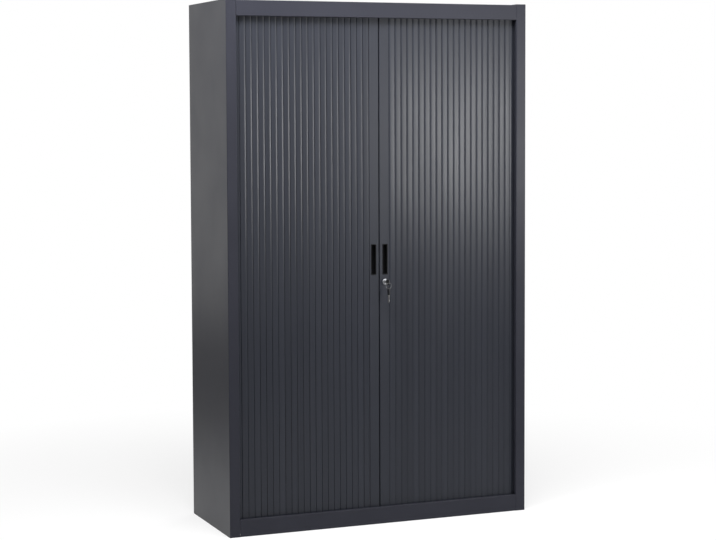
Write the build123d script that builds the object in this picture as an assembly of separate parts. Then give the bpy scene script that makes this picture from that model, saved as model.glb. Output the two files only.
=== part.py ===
from build123d import *

import math
import os

os.makedirs("parts", exist_ok=True)

# A tall steel cabinet with two roller curtains of upright slats that part in the
# middle and run round the front corners into the sides. Millimetres, +Z up, +X to
# the right of someone facing the doors, the doors on the -Y side. The origin is on
# the floor, under the middle of the steel carcass.

# ---------------------------------------------------------------- carcass sizes
width = 1200.0
depth = 450.0
height = 1950.0
sheet = 1.2  # steel of the outer shell and the pans
thin_sheet = 0.8  # steel of the linings and the shelves
bend = 2.0  # outside radius of a fold
fit = 0.2  # gap left between neighbouring panels for paint and welding

stile_width = 39.0
stile_return = 16.0  # depth of the folds round the door opening
rear_flange = 25.0
side_rise = 3.0  # the side panels stand this far above the top panel
fascia_height = 57.0  # front edge of the top panel
plinth_height = 63.0
plinth_foot = 20.0  # fold of the plinth that lies on the floor
lip = 8.0  # stiffening lip on the fascia and the plinth
rim_radius = 0.9  # rounding round the top of a side panel
pan_flange = 20.0  # flanges of the pans and of the top's back edge
pan_to_lip = 11.0  # room between a lip and the pan behind it

# ---------------------------------------------------------------- curtain sizes
slat_pitch = 24.0
slat_plate = 2.0
slat_edge_radius = 0.7
slat_slit = 1.3  # a slat's trailing edge to the next slat's lip
slat_overhang = 1.2  # lip past the hinge that it covers
slat_lip = 5.1
lip_slant = 0.65  # how far the lip falls back across its width
lip_step = 0.4  # height and width of the bevel between lip and face
lip_step_width = 0.3
lip_play = 0.3  # lip to the socket behind it
face_to_hinge = 5.0  # slat face to the line of the hinges behind it
bead_radius = 1.9
socket_bore = 2.2
socket_radius = 3.0
slat_web = 1.2
web_reach = 3.45  # hinge to the root of its web, along the slat
corner_radius = 38.0  # of the hinge line round a corner
door_recess = 21.0  # slat faces behind the front of the cabinet
door_travel = 500.0
spare_slats = 1  # slats past the corner when the curtain is shut
mouth_outer_angle = -65.0  # opening of a hinge socket, on its face side and its inner side
mouth_inner_angle = 25.0

# ------------------------------------------------------------------ track sizes
track_wall = 2.0
track_play = 1.0  # slot wall to slat, on each side
track_height = 14.0
slat_end_play = 0.5
track_to_side = 0.8  # track to the outer side panel
stub_margin = 15.0  # track left behind the last slat of an open curtain
stop_to_hinge = 4.5  # end stop to the last hinge of an open curtain
tray_over_track = 2.0  # floor and ceiling sheets past the mouths of the tracks

# ---------------------------------------------------------------- leading rails
rail_width = 37.5
rail_depth = 26.0
rail_wall = 1.5
rail_edge_radius = 1.5
centre_gap = 4.0  # between the two rails of the shut doors
rail_end_play = 1.5
rail_to_hinge = 2.5  # a rail's outer face to its hinge with the first slat
shoe_plug = 12.0
shoe_play = 0.3

# ------------------------------------------------------------------ recessed pulls
pull_width = 18.0
pull_length = 111.0
pull_rim = 1.5
pull_rim_proud = 0.8
pull_depth = 15.0
pull_wall = 1.3
pull_slope = 7.0  # width of the sloping side
pull_floor_lead = 3.0  # width of the steep part between slope and floor
pull_from_edge = 12.0  # rail's inner edge to the pull's near side
pull_centre_z = 994.5

# ------------------------------------------------------------------ lock and keys
lock_z = 910.0
lock_from_edge = 22.0  # rail's inner edge to the lock's axis
bezel_radius = 11.5
bezel_proud = 3.0
bezel_chamfer = 1.0
barrel_radius = 9.4
barrel_length = 18.0
plug_radius = 6.0
plug_proud = 0.3
running_fit = 0.06
nut_across = 25.0
nut_turn = 30.0  # flats to the rail's walls
nut_thickness = 3.5
tail_square = 5.0
hook_thickness = 2.5
hook_gap = 0.5  # barrel to hook
hook_half_width = 4.0
hook_hub_radius = 6.0
hook_reach = 36.0
hook_tip = 4.2
hook_tip_angle = 18.0
hook_play = 1.5  # slot edge to hook
screw_head_radius = 3.4
screw_head = 1.5
screw_slot = 0.8
striker_thickness = 2.0
striker_rivet_radius = 2.0
striker_rivet_head_radius = 3.5
striker_rivet_spread = 9.0  # rivet to the end of the striker's slot

key_thickness = 1.2
key_height = 7.2
key_length = 27.0  # blade outside the head
key_root = 8.0  # blade inside the head
key_head_length = 30.0
key_head_width = 20.0
key_head_thickness = 3.0
key_head_corner = 6.0
key_head_edge = 0.6
key_hole_radius = 3.2
key_hole_flare = 2.2  # how much wider the hole is at the head's faces
key_hole_from_end = 6.5
key_outside = 6.2  # blade showing between the lock and the head
keyway_play = 0.1
key_bites = (1.2, 0.6, 1.6, 0.9)  # depths, from the tip
first_bite = 4.0  # tip to the first bite
bite_pitch = 3.0
bite_width = 1.8
ring_radius = 11.0
ring_wire = 0.7
ring_gap = 0.9  # ring to the edge of a key's hole

# --------------------------------------------------------------- linings, shelves
liner_to_track = 14.0  # side lining to the tracks
liner_inset = 4.2  # folds of a side lining inside the edge of the floor panel
liner_flange = 12.0
slot_pitch = 40.0
slot_height = 4.0
slot_width = 12.0
first_slot = 50.0
slot_top_margin = 75.0
slot_inset = 35.0  # slot columns from the ends of the lining
slots_per_bay = 9
first_shelf_slot = 7  # the lowest shelf hangs in this slot, counted from 0
shelf_count = 4
shelf_height = 25.0
shelf_lip = 10.0
shelf_front_gap = 3.0
shelf_side_gap = 1.6
clip_thickness = 1.2
clip_ledge = 13.0
clip_drop = 14.0
clip_hook = 4.0
clip_side_play = 1.0

# ------------------------------------------------------------------ levelling feet
foot_names = ("front_left", "front_right", "back_left", "back_right")
foot_inset_x = 55.0
foot_inset_front = 75.0
foot_inset_back = 65.0
pad_radius = 20.0
pad_thickness = 4.0
pad_boss_radius = 9.0
pad_boss = 10.0
pad_chamfer = 1.0
spindle_radius = 5.0
spindle_seat_gap = 0.3  # spindle's end to the bottom of its socket in the pad
spindle_below_pan = 4.0
spindle_hex = 5.0  # across the flats of the hexagon socket
spindle_hex_depth = 4.0
bracket_width = 60.0
bracket_over_pad = 4.0
bracket_hole_play = 0.3
bracket_thickness = 2.5
foot_nut_across = 16.0
foot_nut_height = 8.0
access_radius = 7.0
cap_rim = 2.5
cap_thickness = 1.5
cap_stem = 5.0

# -------------------------------------------------------------------- back rivets
rivet_radius = 1.6
rivet_hole_radius = 1.7
rivet_head_radius = 3.6
rivet_head = 1.0
rivet_head_round = 0.7
side_rivets = 8
end_rivets = 5
rivet_margin = 60.0

# ----------------------------------------------------------------- derived places
half_width = width / 2
front = -depth / 2
back = depth / 2
side_inner = half_width - sheet
opening_x = half_width - stile_width
top_z = height - side_rise
opening_top = top_z - fascia_height
notch_x = opening_x - fit
notch_y = front + stile_return + fit

track_outer = face_to_hinge + track_play + track_wall
track_inner = socket_radius + track_play + track_wall
hinge_front = front + door_recess + face_to_hinge
hinge_side = side_inner - track_to_side - track_outer
back_panel_front = back - sheet - thin_sheet
hinge_back = back_panel_front - track_to_side - track_outer
corner_x = hinge_side - corner_radius
corner_front_y = hinge_front + corner_radius
corner_back_y = hinge_back - corner_radius
face_y = hinge_front - face_to_hinge

tray_corner = corner_radius - track_inner - fit
liner_x = hinge_side - track_inner - liner_to_track
liner_past_corner = math.sqrt(tray_corner**2 - (liner_x - corner_x) ** 2) - liner_inset
liner_front_y = corner_front_y - liner_past_corner
liner_back_y = corner_back_y + liner_past_corner

pan_top = plinth_height - lip - pan_to_lip
track_bottom_z = pan_top
floor_top = pan_top + track_height + tray_over_track
head_bottom = opening_top + lip + pan_to_lip
track_top_z = head_bottom
ceiling_bottom = head_bottom - track_height - tray_over_track
slat_bottom = track_bottom_z + track_wall + slat_end_play
slat_top = track_top_z - track_wall - slat_end_play

rail_inner_x = centre_gap / 2
rail_outer_x = rail_inner_x + rail_width
rail_back_y = face_y + rail_depth
rail_bottom = floor_top + rail_end_play
rail_top = ceiling_bottom - rail_end_play
first_hinge = rail_outer_x + rail_to_hinge

corner_arc = corner_radius * math.pi / 2
slat_count = math.ceil((corner_x + corner_arc - first_hinge) / slat_pitch) + spare_slats - 1
open_tail = first_hinge + slat_count * slat_pitch + door_travel
stub_length = open_tail - corner_x - 2 * corner_arc - (corner_back_y - corner_front_y) + stub_margin

lock_x = rail_inner_x + lock_from_edge
plug_face_y = face_y - bezel_proud - plug_proud
barrel_back_y = face_y + barrel_length
hook_front_y = barrel_back_y + hook_gap
hook_back_y = hook_front_y + hook_thickness
key_head_y = plug_face_y - key_outside
key_hole_y = key_head_y - key_head_length + key_hole_from_end
ring_top_z = lock_z - key_hole_radius + ring_wire + ring_gap
ring_centre_z = ring_top_z - ring_radius
spare_hole_z = ring_centre_z - ring_radius - (lock_z - ring_top_z)

spindle_bottom = pad_thickness + spindle_seat_gap
spindle_top = pan_top - spindle_below_pan
bracket_z = pad_boss + bracket_over_pad


# ------------------------------------------------------------------------ helpers
def block(x0, x1, y0, y1, z0, z1):
    """A box between two opposite corners."""
    size = Box(x1 - x0, y1 - y0, z1 - z0)
    return Pos((x0 + x1) / 2, (y0 + y1) / 2, (z0 + z1) / 2) * size


def rod_y(x, z, radius, y0, y1):
    """A round bar along Y."""
    bar = Rot(90, 0, 0) * Cylinder(radius, y1 - y0)
    return Pos(x, (y0 + y1) / 2, z) * bar


def rod_z(x, y, radius, z0, z1):
    """A round bar along Z."""
    return Pos(x, y, (z0 + z1) / 2) * Cylinder(radius, z1 - z0)


def folded_section(points, thickness):
    """The section of a sheet folded along points, its metal on the left of the way they run."""
    count = len(points)
    inner = []
    traced_radii = []
    inner_radii = []
    for i in range(count):
        before = points[max(i - 1, 0)]
        here = points[i]
        after = points[min(i + 1, count - 1)]
        way_in = Vector(here[0] - before[0], here[1] - before[1])
        way_out = Vector(after[0] - here[0], after[1] - here[1])
        if i == 0:
            way_in = way_out
        if i == count - 1:
            way_out = way_in
        way_in = way_in.normalized()
        way_out = way_out.normalized()
        left_in = Vector(-way_in.Y, way_in.X)
        left_out = Vector(-way_out.Y, way_out.X)
        shift = (left_in + left_out) * (thickness / (1 + left_in.dot(left_out)))
        inner.append((here[0] + shift.X, here[1] + shift.Y))
        if 0 < i < count - 1:
            turns_left = way_in.X * way_out.Y - way_in.Y * way_out.X > 0
            traced_radii.append(bend if turns_left else bend - thickness)
            inner_radii.append(bend - thickness if turns_left else bend)
    outer_line = FilletPolyline(*points, radius=traced_radii)
    inner_line = FilletPolyline(*inner, radius=inner_radii)
    ends = [Line(points[0], inner[0]), Line(points[-1], inner[-1])]
    return make_face([*outer_line.edges(), *inner_line.edges(), *[end.edge() for end in ends]])


def along_x(section, x0, x1):
    """A section drawn in Y and Z, drawn out from x0 to x1."""
    return Pos(x0, 0, 0) * extrude(Plane.YZ * section, x1 - x0)


def along_z(section, z0, z1):
    """A section drawn in X and Y, drawn out from z0 to z1."""
    return Pos(0, 0, z0) * extrude(section, z1 - z0)


def mirrored(shape):
    """The left-hand twin of a right-hand piece."""
    return mirror(shape, about=Plane.YZ)


def write(name, *pieces):
    """One STEP file that holds the given solids as separate pieces."""
    solids = []
    for piece in pieces:
        solids.extend(piece.solids())
    shape = solids[0] if len(solids) == 1 else Compound(children=solids)
    shape.label = name
    export_step(shape, f"parts/{name}.step")


def write_pair(name, *pieces):
    """A right-hand piece and its left-hand twin."""
    write(f"{name}_right", *pieces)
    write(f"{name}_left", *[mirrored(piece) for piece in pieces])


def corner_notches():
    """Room for the stiles' folds at the front corners of a pan or the top panel."""
    for side in (-1, 1):
        x0, x1 = sorted((side * notch_x, side * (half_width + bend)))
        yield block(x0, x1, front - bend, notch_y, -bend, height + bend)


# ------------------------------------------------------------------ outer shell
def rivet_places():
    """Where the back panel is riveted, as X and Z."""
    low = rivet_margin
    high = top_z - rivet_margin
    flange_x = half_width - rear_flange / 2
    for i in range(side_rivets):
        z = low + (high - low) * i / (side_rivets - 1)
        yield flange_x, z
        yield -flange_x, z


def edge_rivet_places():
    """Rivets along the head and the foot of the back panel."""
    span = 2 * (half_width - rear_flange - rivet_margin)
    for i in range(end_rivets):
        x = -span / 2 + span * i / (end_rivets - 1)
        yield x, pan_top - pan_flange / 2
        yield x, top_z - pan_flange / 2


def rivet_holes():
    """Clearance for all rivets of the back."""
    holes = []
    for x, z in [*rivet_places(), *edge_rivet_places()]:
        holes.append(rod_y(x, z, rivet_hole_radius, back_panel_front - 2 * sheet, back + sheet))
    return holes


def side_panel():
    """The right side: outer skin, stile with its return, rear flange and top fold in one sheet."""
    points = [
        (opening_x, front + stile_return),
        (opening_x, front),
        (half_width, front),
        (half_width, back),
        (half_width - rear_flange, back),
    ]
    skin = along_z(folded_section(points, sheet), 0, height)
    fold = RectangleRounded(stile_width, depth, bend)
    fold = Pos((opening_x + half_width) / 2, 0, 0) * along_z(fold, height - sheet, height)
    hem = block(opening_x, opening_x + sheet, notch_y, back - bend, top_z, height)
    panel = skin + fold + hem
    rim = panel.edges().filter_by_position(Axis.Z, height - sheet / 10, height + sheet / 10)
    panel = fillet(rim, rim_radius)
    return panel - rivet_holes()


def top_panel():
    """The top with its front fascia folded down and a flange at the back."""
    points = [
        (back_panel_front, top_z - pan_flange),
        (back_panel_front, top_z),
        (front, top_z),
        (front, opening_top),
        (front + stile_return, opening_top),
        (front + stile_return, opening_top + lip),
    ]
    panel = along_x(folded_section(points, sheet), -side_inner + fit, side_inner - fit)
    return panel - [*corner_notches(), *rivet_holes()]


def front_plinth():
    """The rail below the doors, folded in at its top and along the floor."""
    points = [
        (front + stile_return, plinth_height - lip),
        (front + stile_return, plinth_height),
        (front, plinth_height),
        (front, 0),
        (front + plinth_foot, 0),
    ]
    return along_x(folded_section(points, sheet), -notch_x, notch_x)


def pan(z, way):
    """A full pan with front and back flanges that point up (way 1) or down (way -1)."""
    front_edge = front + sheet + fit
    back_edge = back_panel_front
    flange_z = z + way * pan_flange
    points = [(back_edge, flange_z), (back_edge, z), (front_edge, z), (front_edge, flange_z)]
    if way > 0:
        points.reverse()
    section = folded_section(points, sheet)
    return along_x(section, -side_inner + fit, side_inner - fit) - [*corner_notches()]


def base_pan():
    """The bottom of the carcass, with a hole over each levelling foot."""
    pan_body = pan(pan_top, -1)
    holes = [rod_z(x, y, access_radius, pan_top - 2 * sheet, pan_top + sheet) for x, y in foot_places()]
    return pan_body - [*holes, *rivet_holes()]


def head_pan():
    """The sheet under the top panel that carries the upper tracks."""
    body = pan(head_bottom, 1)
    rear_clear = block(-width, width, back_panel_front - 2 * bend, back, top_z - pan_flange - fit, top_z)
    return body - rear_clear


def back_panel():
    """The plain sheet riveted to the inside of the rear flanges."""
    x = side_inner - (bend - sheet) - fit
    y1 = back_panel_front + thin_sheet
    sheet_body = block(-x, x, back_panel_front, y1, sheet, top_z - sheet)
    return sheet_body - rivet_holes()


def back_rivets():
    """Blind rivets of the back panel: domed heads outside, shanks through the sheets."""
    for x, z in rivet_places():
        shank = rod_y(x, z, rivet_radius, back_panel_front, back)
        head = rod_y(x, z, rivet_head_radius, back, back + rivet_head)
        yield fillet((shank + head).edges().sort_by(Axis.Y)[-1], rivet_head_round)
    y1 = back_panel_front + thin_sheet
    for x, z in edge_rivet_places():
        shank = rod_y(x, z, rivet_radius, back_panel_front - sheet, y1)
        head = rod_y(x, z, rivet_head_radius, y1, y1 + rivet_head)
        yield fillet((shank + head).edges().sort_by(Axis.Y)[-1], rivet_head_round)


# ------------------------------------------------------------------ inner fittings
def inner_tray(z_plate, z_edge):
    """A floor or ceiling sheet inside the curtain's tracks, with a skirt that meets its pan."""
    x = corner_x + tray_corner
    y0 = corner_front_y - tray_corner
    y1 = corner_back_y + tray_corner
    outline = Pos(0, (y0 + y1) / 2, 0) * RectangleRounded(2 * x, y1 - y0, tray_corner)
    hollow = offset(outline, -thin_sheet)
    low, high = sorted((z_plate, z_edge))
    tray = along_z(outline, low, high)
    if z_plate > z_edge:
        return tray - along_z(hollow, low, high - thin_sheet)
    return tray - along_z(hollow, low + thin_sheet, high)


def floor_panel():
    """The floor of the lowest compartment, with a hole over each foot for its key."""
    tray = inner_tray(floor_top, pan_top)
    holes = [rod_z(x, y, access_radius, pan_top, floor_top + sheet) for x, y in foot_places()]
    return tray - holes


def access_caps():
    """Push-in caps over the holes of the floor panel."""
    for x, y in foot_places():
        stem = rod_z(x, y, access_radius - fit, floor_top - cap_stem, floor_top)
        rim = rod_z(x, y, access_radius + cap_rim, floor_top, floor_top + cap_thickness)
        yield fillet((stem + rim).edges().sort_by(Axis.Z)[-1], cap_thickness / 2)


def slot_heights():
    """Heights of the shelf slots in the linings."""
    count = int((ceiling_bottom - floor_top - slot_top_margin) // slot_pitch) + 1
    return [floor_top + first_slot + slot_pitch * i for i in range(count)]


def slot_columns():
    """Where the two columns of shelf slots stand, front and back."""
    return liner_front_y + slot_inset, liner_back_y - slot_inset


def side_liner():
    """The right-hand lining between the compartments and the side pocket, slotted for shelf clips."""
    points = [
        (liner_x - liner_flange, liner_front_y),
        (liner_x, liner_front_y),
        (liner_x, liner_back_y),
        (liner_x - liner_flange, liner_back_y),
    ]
    liner = along_z(folded_section(points, thin_sheet), floor_top, ceiling_bottom)
    x0 = liner_x - 2 * thin_sheet
    x1 = liner_x + thin_sheet
    half_wide = slot_width / 2
    half_high = slot_height / 2
    slots = []
    for z in slot_heights():
        for y in slot_columns():
            slots.append(block(x0, x1, y - half_wide, y + half_wide, z - half_high, z + half_high))
    return liner - slots


def inner_back():
    """The sheet that closes the compartments and hides the curtains' tails."""
    x = liner_x - thin_sheet
    y0 = liner_back_y + fit
    return block(-x, x, y0, y0 + thin_sheet, floor_top, ceiling_bottom)


def shelf_slot_heights():
    """The slots that carry the shelves as the cabinet is delivered."""
    heights = slot_heights()
    return [heights[first_shelf_slot + slots_per_bay * k] for k in range(shelf_count)]


def ledge_top(slot_z):
    """The height of a clip's ledge when it hangs in a slot."""
    return slot_z + slot_height


def shelf(slot_z):
    """A tray-shaped shelf with lips turned in along its front and back edges."""
    bottom = ledge_top(slot_z)
    top = bottom + shelf_height
    x = liner_x - thin_sheet - shelf_side_gap
    y0 = rail_back_y + shelf_front_gap
    y1 = liner_back_y - thin_sheet - fit
    body = block(-x, x, y0, y1, bottom, top)
    body = fillet(body.edges().filter_by(Axis.X).group_by(Axis.Z)[-1], bend)
    inner_x = x - thin_sheet
    low = bottom + thin_sheet
    high = top - thin_sheet
    hollow = block(-inner_x, inner_x, y0 + thin_sheet, y1 - thin_sheet, low, high)
    mouth = block(-inner_x, inner_x, y0 + shelf_lip, y1 - shelf_lip, bottom, top - bend)
    return body - hollow - mouth


def shelf_clip(slot_z, y, side):
    """A clip hooked in one slot of a lining, its ledge under the shelf's side flange."""
    inner = liner_x - thin_sheet
    top = ledge_top(slot_z)
    half = slot_width / 2 - clip_side_play
    plate = block(inner - clip_thickness, inner, y - half, y + half, top - clip_drop, top)
    ledge = block(inner - clip_ledge, inner, y - half, y + half, top - clip_thickness, top)
    tongue_z = slot_z - slot_height / 2 + fit
    hook_x = liner_x + clip_thickness
    tongue = block(inner, hook_x, y - half, y + half, tongue_z, tongue_z + clip_thickness)
    hook_z0 = tongue_z - clip_hook
    hook = block(liner_x + fit, hook_x, y - half, y + half, hook_z0, tongue_z + clip_thickness)
    clip = plate + ledge + tongue + hook
    return clip if side > 0 else mirrored(clip)


def shelf_clips():
    """Four clips under each shelf."""
    for slot_z in shelf_slot_heights():
        for y in slot_columns():
            for side in (-1, 1):
                yield shelf_clip(slot_z, y, side)


# ------------------------------------------------------------------------- tracks
def track_outline(inward, outward, start_x, stub):
    """The strip between two offsets of the hinge line, from start_x to the stub along the back."""
    stub_x = corner_x - stub
    reach_out = corner_radius + outward
    reach_in = corner_radius - inward
    lines = [
        Line((start_x, hinge_front - outward), (corner_x, hinge_front - outward)),
        CenterArc((corner_x, corner_front_y), reach_out, -90, 90),
        Line((hinge_side + outward, corner_front_y), (hinge_side + outward, corner_back_y)),
        CenterArc((corner_x, corner_back_y), reach_out, 0, 90),
        Line((corner_x, hinge_back + outward), (stub_x, hinge_back + outward)),
        Line((stub_x, hinge_back + outward), (stub_x, hinge_back - inward)),
        Line((stub_x, hinge_back - inward), (corner_x, hinge_back - inward)),
        CenterArc((corner_x, corner_back_y), reach_in, 0, 90),
        Line((hinge_side - inward, corner_back_y), (hinge_side - inward, corner_front_y)),
        CenterArc((corner_x, corner_front_y), reach_in, -90, 90),
        Line((corner_x, hinge_front + inward), (start_x, hinge_front + inward)),
        Line((start_x, hinge_front + inward), (start_x, hinge_front - outward)),
    ]
    return make_face([line.edge() for line in lines])


def track(z_floor, z_mouth):
    """One moulded channel for the slat ends, along the front, round the side and onto the back."""
    start_x = fit
    body = track_outline(track_inner, track_outer, start_x, stub_length)
    slot_in = track_inner - track_wall
    slot_out = track_outer - track_wall
    slot = track_outline(slot_in, slot_out, start_x - 1, stub_length - track_wall)
    low, high = sorted((z_floor, z_mouth))
    floor_way = track_wall if z_mouth > z_floor else -track_wall
    slot_low, slot_high = sorted((z_floor + floor_way, z_mouth))
    return along_z(body, low, high) - along_z(slot, slot_low, slot_high)


def track_stops():
    """Rubber blocks in the blind ends of the tracks, where the last slat comes to rest."""
    stop_x = corner_x - stub_length + track_wall
    y0 = hinge_back - track_inner + track_wall
    y1 = hinge_back + track_outer - track_wall
    length = stub_margin - track_wall - stop_to_hinge
    levels = [
        (track_bottom_z + track_wall, track_bottom_z + track_height),
        (track_top_z - track_height, track_top_z - track_wall),
    ]
    for z0, z1 in levels:
        stop = block(stop_x, stop_x + length, y0, y1, z0, z1)
        yield stop
        yield mirrored(stop)


# ----------------------------------------------------------------- roller curtains
def track_point(distance):
    """A point on the right-hand hinge line, this far along it from the middle of the front."""
    if distance <= corner_x:
        return distance, hinge_front
    distance -= corner_x
    if distance <= corner_arc:
        angle = distance / corner_radius
        x = corner_x + corner_radius * math.sin(angle)
        return x, corner_front_y - corner_radius * math.cos(angle)
    return hinge_side, corner_front_y + distance - corner_arc


def hinge_points():
    """The hinges of the shut curtain, each a slat's pitch from the last in a straight line."""
    along = first_hinge
    points = [track_point(along)]
    while len(points) <= slat_count:
        near = along
        far = along + 2 * slat_pitch
        for _ in range(50):
            middle = (near + far) / 2
            if math.dist(track_point(middle), points[-1]) < slat_pitch:
                near = middle
            else:
                far = middle
        along = far
        points.append(track_point(along))
    return points


def hinge_socket(x, y):
    """A C-shaped socket and its round bore, open towards the next slat."""
    ring = Pos(x, y) * Circle(socket_radius)
    bore = Pos(x, y) * Circle(socket_bore)
    reach = 2 * socket_radius
    low = math.radians(mouth_outer_angle)
    high = math.radians(mouth_inner_angle)
    mouth = make_face(
        Polyline(
            (x, y),
            (x + reach * math.cos(low), y + reach * math.sin(low)),
            (x + reach, y),
            (x + reach * math.cos(high), y + reach * math.sin(high)),
            close=True,
        ).edges()
    )
    return ring, bore + mouth


def slat_front(end):
    """A slat's flat face, and beside it the slanting lip that covers the socket ahead."""
    lip_edge = -slat_overhang
    lip_root = lip_edge + slat_lip
    face_start = lip_root + lip_step_width
    face = -face_to_hinge
    lip_back = -socket_radius - lip_play
    outline = make_face(
        Polyline(
            (lip_edge, face + lip_step + lip_slant),
            (lip_root, face + lip_step),
            (face_start, face),
            (end, face),
            (end, face + slat_plate),
            (face_start, face + slat_plate),
            (face_start, lip_back),
            (lip_edge, lip_back),
            close=True,
        ).edges()
    )
    return fillet(outline.vertices().group_by(Axis.X)[-1].sort_by(Axis.Y)[:1], slat_edge_radius)


def slat_section():
    """A slat's section, its leading hinge at the origin and its trailing socket one pitch along X."""
    end = slat_pitch - slat_overhang - slat_slit
    plate = slat_front(end)
    plate_y = -face_to_hinge + slat_plate / 2
    bead = Circle(bead_radius)
    drop = face_to_hinge - slat_plate + slat_web / 2
    angle = math.degrees(math.atan2(-drop, web_reach))
    length = math.hypot(web_reach, drop)
    web = Rot(0, 0, angle) * (Pos(length / 2, 0) * Rectangle(length, slat_web))
    ring, opening = hinge_socket(slat_pitch, 0)
    link = Pos(end - slat_web, plate_y / 2) * Rectangle(2 * slat_web, -plate_y)
    return (plate + bead + web) + ((ring + link) - opening)


def curtain():
    """The right-hand curtain as it stands shut, one solid for each slat."""
    section = slat_section()
    points = hinge_points()
    for here, after in zip(points, points[1:]):
        angle = math.degrees(math.atan2(after[1] - here[1], after[0] - here[0]))
        placed = Pos(here[0], here[1]) * (Rot(0, 0, angle) * section)
        yield along_z(placed, slat_bottom, slat_top)


# ------------------------------------------------------------------- leading rails
def hook_slot(margin):
    """The upright slot that the hook swings through, cut in a rail's inner edge."""
    low = lock_z - hook_reach - margin
    high = lock_z + hook_reach * math.sin(math.radians(hook_tip_angle)) + margin
    x = rail_inner_x + 2 * rail_wall
    return block(-x, x, hook_front_y - margin, hook_back_y + margin, low, high)


def rail_body():
    """The closed box of a right-hand leading rail with the socket for the first slat."""
    centre_x = (rail_inner_x + rail_outer_x) / 2
    centre_y = (face_y + rail_back_y) / 2
    outer = Pos(centre_x, centre_y) * RectangleRounded(rail_width, rail_depth, rail_edge_radius)
    inner = Pos(centre_x, centre_y) * Rectangle(rail_width - 2 * rail_wall, rail_depth - 2 * rail_wall)
    ring, opening = hinge_socket(first_hinge, hinge_front)
    return along_z(outer + ring - inner - opening, rail_bottom, rail_top)


def pull_cutout():
    """The window for a pull in the rail's face."""
    x0 = rail_inner_x + pull_from_edge
    z0 = pull_centre_z - pull_length / 2
    return block(x0, x0 + pull_width, face_y - 1, face_y + 2 * rail_wall, z0, z0 + pull_length)


def leading_rail_right():
    """The rail with the lock."""
    lock_hole = rod_y(lock_x, lock_z, barrel_radius + fit, face_y - 1, face_y + 2 * rail_wall)
    return rail_body() - [pull_cutout(), lock_hole, hook_slot(hook_play)]


def leading_rail_left():
    """The rail with the striker."""
    rivets = [rod_x(z, 2 * rail_wall + striker_thickness) for z in striker_rivet_heights()]
    return mirrored(rail_body() - [pull_cutout()]) - [hook_slot(hook_play), *rivets]


def rail_shoes():
    """Moulded shoes in both ends of a rail, with tongues that run in the tracks."""
    x0 = rail_inner_x + rail_wall + shoe_play
    x1 = rail_outer_x - rail_wall - shoe_play
    y0 = face_y + rail_wall + shoe_play
    y1 = rail_back_y - rail_wall - shoe_play
    tongue_y0 = hinge_front - face_to_hinge + track_play / 2
    tongue_y1 = hinge_front + socket_radius
    ends = [
        (slat_bottom, rail_bottom, rail_bottom + shoe_plug),
        (slat_top, rail_top, rail_top - shoe_plug),
    ]
    for tip, seat, root in ends:
        plug = block(x0, x1, y0, y1, *sorted((seat, root)))
        tongue = block(x0, x1, tongue_y0, tongue_y1, *sorted((tip, seat)))
        yield plug + tongue


def handle_pull():
    """A moulded finger cup for the right-hand rail, its left side sloping, its right side steep."""
    x0 = rail_inner_x + pull_from_edge
    x1 = x0 + pull_width
    half = pull_length / 2
    z0 = pull_centre_z - half
    z1 = pull_centre_z + half
    rim_y0 = face_y - pull_rim_proud
    rim = block(x0 - pull_rim, x1 + pull_rim, rim_y0, face_y, z0 - pull_rim, z1 + pull_rim)
    rim = fillet(rim.edges().group_by(Axis.Y)[0], pull_rim_proud / 2)
    cup_y0 = face_y - pull_rim_proud / 2
    cup_y1 = face_y + pull_depth + pull_wall
    cup = block(x0 + fit, x1 - fit, cup_y0, cup_y1, z0 + fit, z1 - fit)
    left = x0 + pull_wall
    right = x1 - pull_wall
    mouth_y = face_y - 2 * pull_rim_proud
    floor_y = face_y + pull_depth
    hollow = make_face(
        Polyline(
            (left, mouth_y),
            (left, face_y),
            (left + pull_slope, face_y + pull_depth / 2),
            (left + pull_slope + pull_floor_lead, floor_y),
            (right, floor_y),
            (right, mouth_y),
            close=True,
        ).edges()
    )
    return rim + cup - along_z(hollow, z0 + pull_wall, z1 - pull_wall)


# --------------------------------------------------------------------------- lock
def rod_x(z, length):
    """A rivet hole through the left rail's inner wall and the striker."""
    y = (hook_front_y + hook_back_y) / 2
    bar = Rot(0, 90, 0) * Cylinder(striker_rivet_radius, length)
    return Pos(-rail_inner_x - length / 2 + rail_wall / 2, y, z) * bar


def striker_slot_heights():
    """Foot and head of the striker's slot: wide enough for the hook's way in, shut above its arm."""
    plate_x = lock_from_edge + centre_gap + rail_wall
    entry = math.sqrt(hook_reach**2 - plate_x**2)
    return lock_z - entry - hook_play, lock_z + hook_half_width + hook_play


def striker_rivet_heights():
    """Where the striker is riveted, above and below the rail's slot."""
    low = lock_z - hook_reach - hook_play
    high = lock_z + hook_reach * math.sin(math.radians(hook_tip_angle)) + hook_play
    return low - striker_rivet_spread, high + striker_rivet_spread


def striker_plate():
    """The steel keep behind the left rail's inner wall."""
    low, high = striker_rivet_heights()
    x1 = -rail_inner_x - rail_wall
    x0 = x1 - striker_thickness
    y0 = hook_front_y - hook_play - striker_rivet_spread / 2
    y1 = rail_back_y - rail_wall - fit
    plate = block(x0, x1, y0, y1, low - striker_rivet_spread / 2, high + striker_rivet_spread / 2)
    slot_low, slot_high = striker_slot_heights()
    slot = block(x0 - 1, x1 + 1, hook_front_y - hook_play, hook_back_y + hook_play, slot_low, slot_high)
    holes = [rod_x(z, 2 * rail_wall + striker_thickness) for z in striker_rivet_heights()]
    return plate - [slot, *holes]


def striker_rivets():
    """Two rivets through the rail's wall and the striker."""
    y = (hook_front_y + hook_back_y) / 2
    for z in striker_rivet_heights():
        length = rail_wall + striker_thickness
        shank = Rot(0, 90, 0) * Cylinder(striker_rivet_radius - fit / 2, length)
        shank = Pos(-rail_inner_x - length / 2, y, z) * shank
        head = Rot(0, 90, 0) * Cylinder(striker_rivet_head_radius, rivet_head)
        yield shank + Pos(-rail_inner_x - length - rivet_head / 2, y, z) * head


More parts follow.
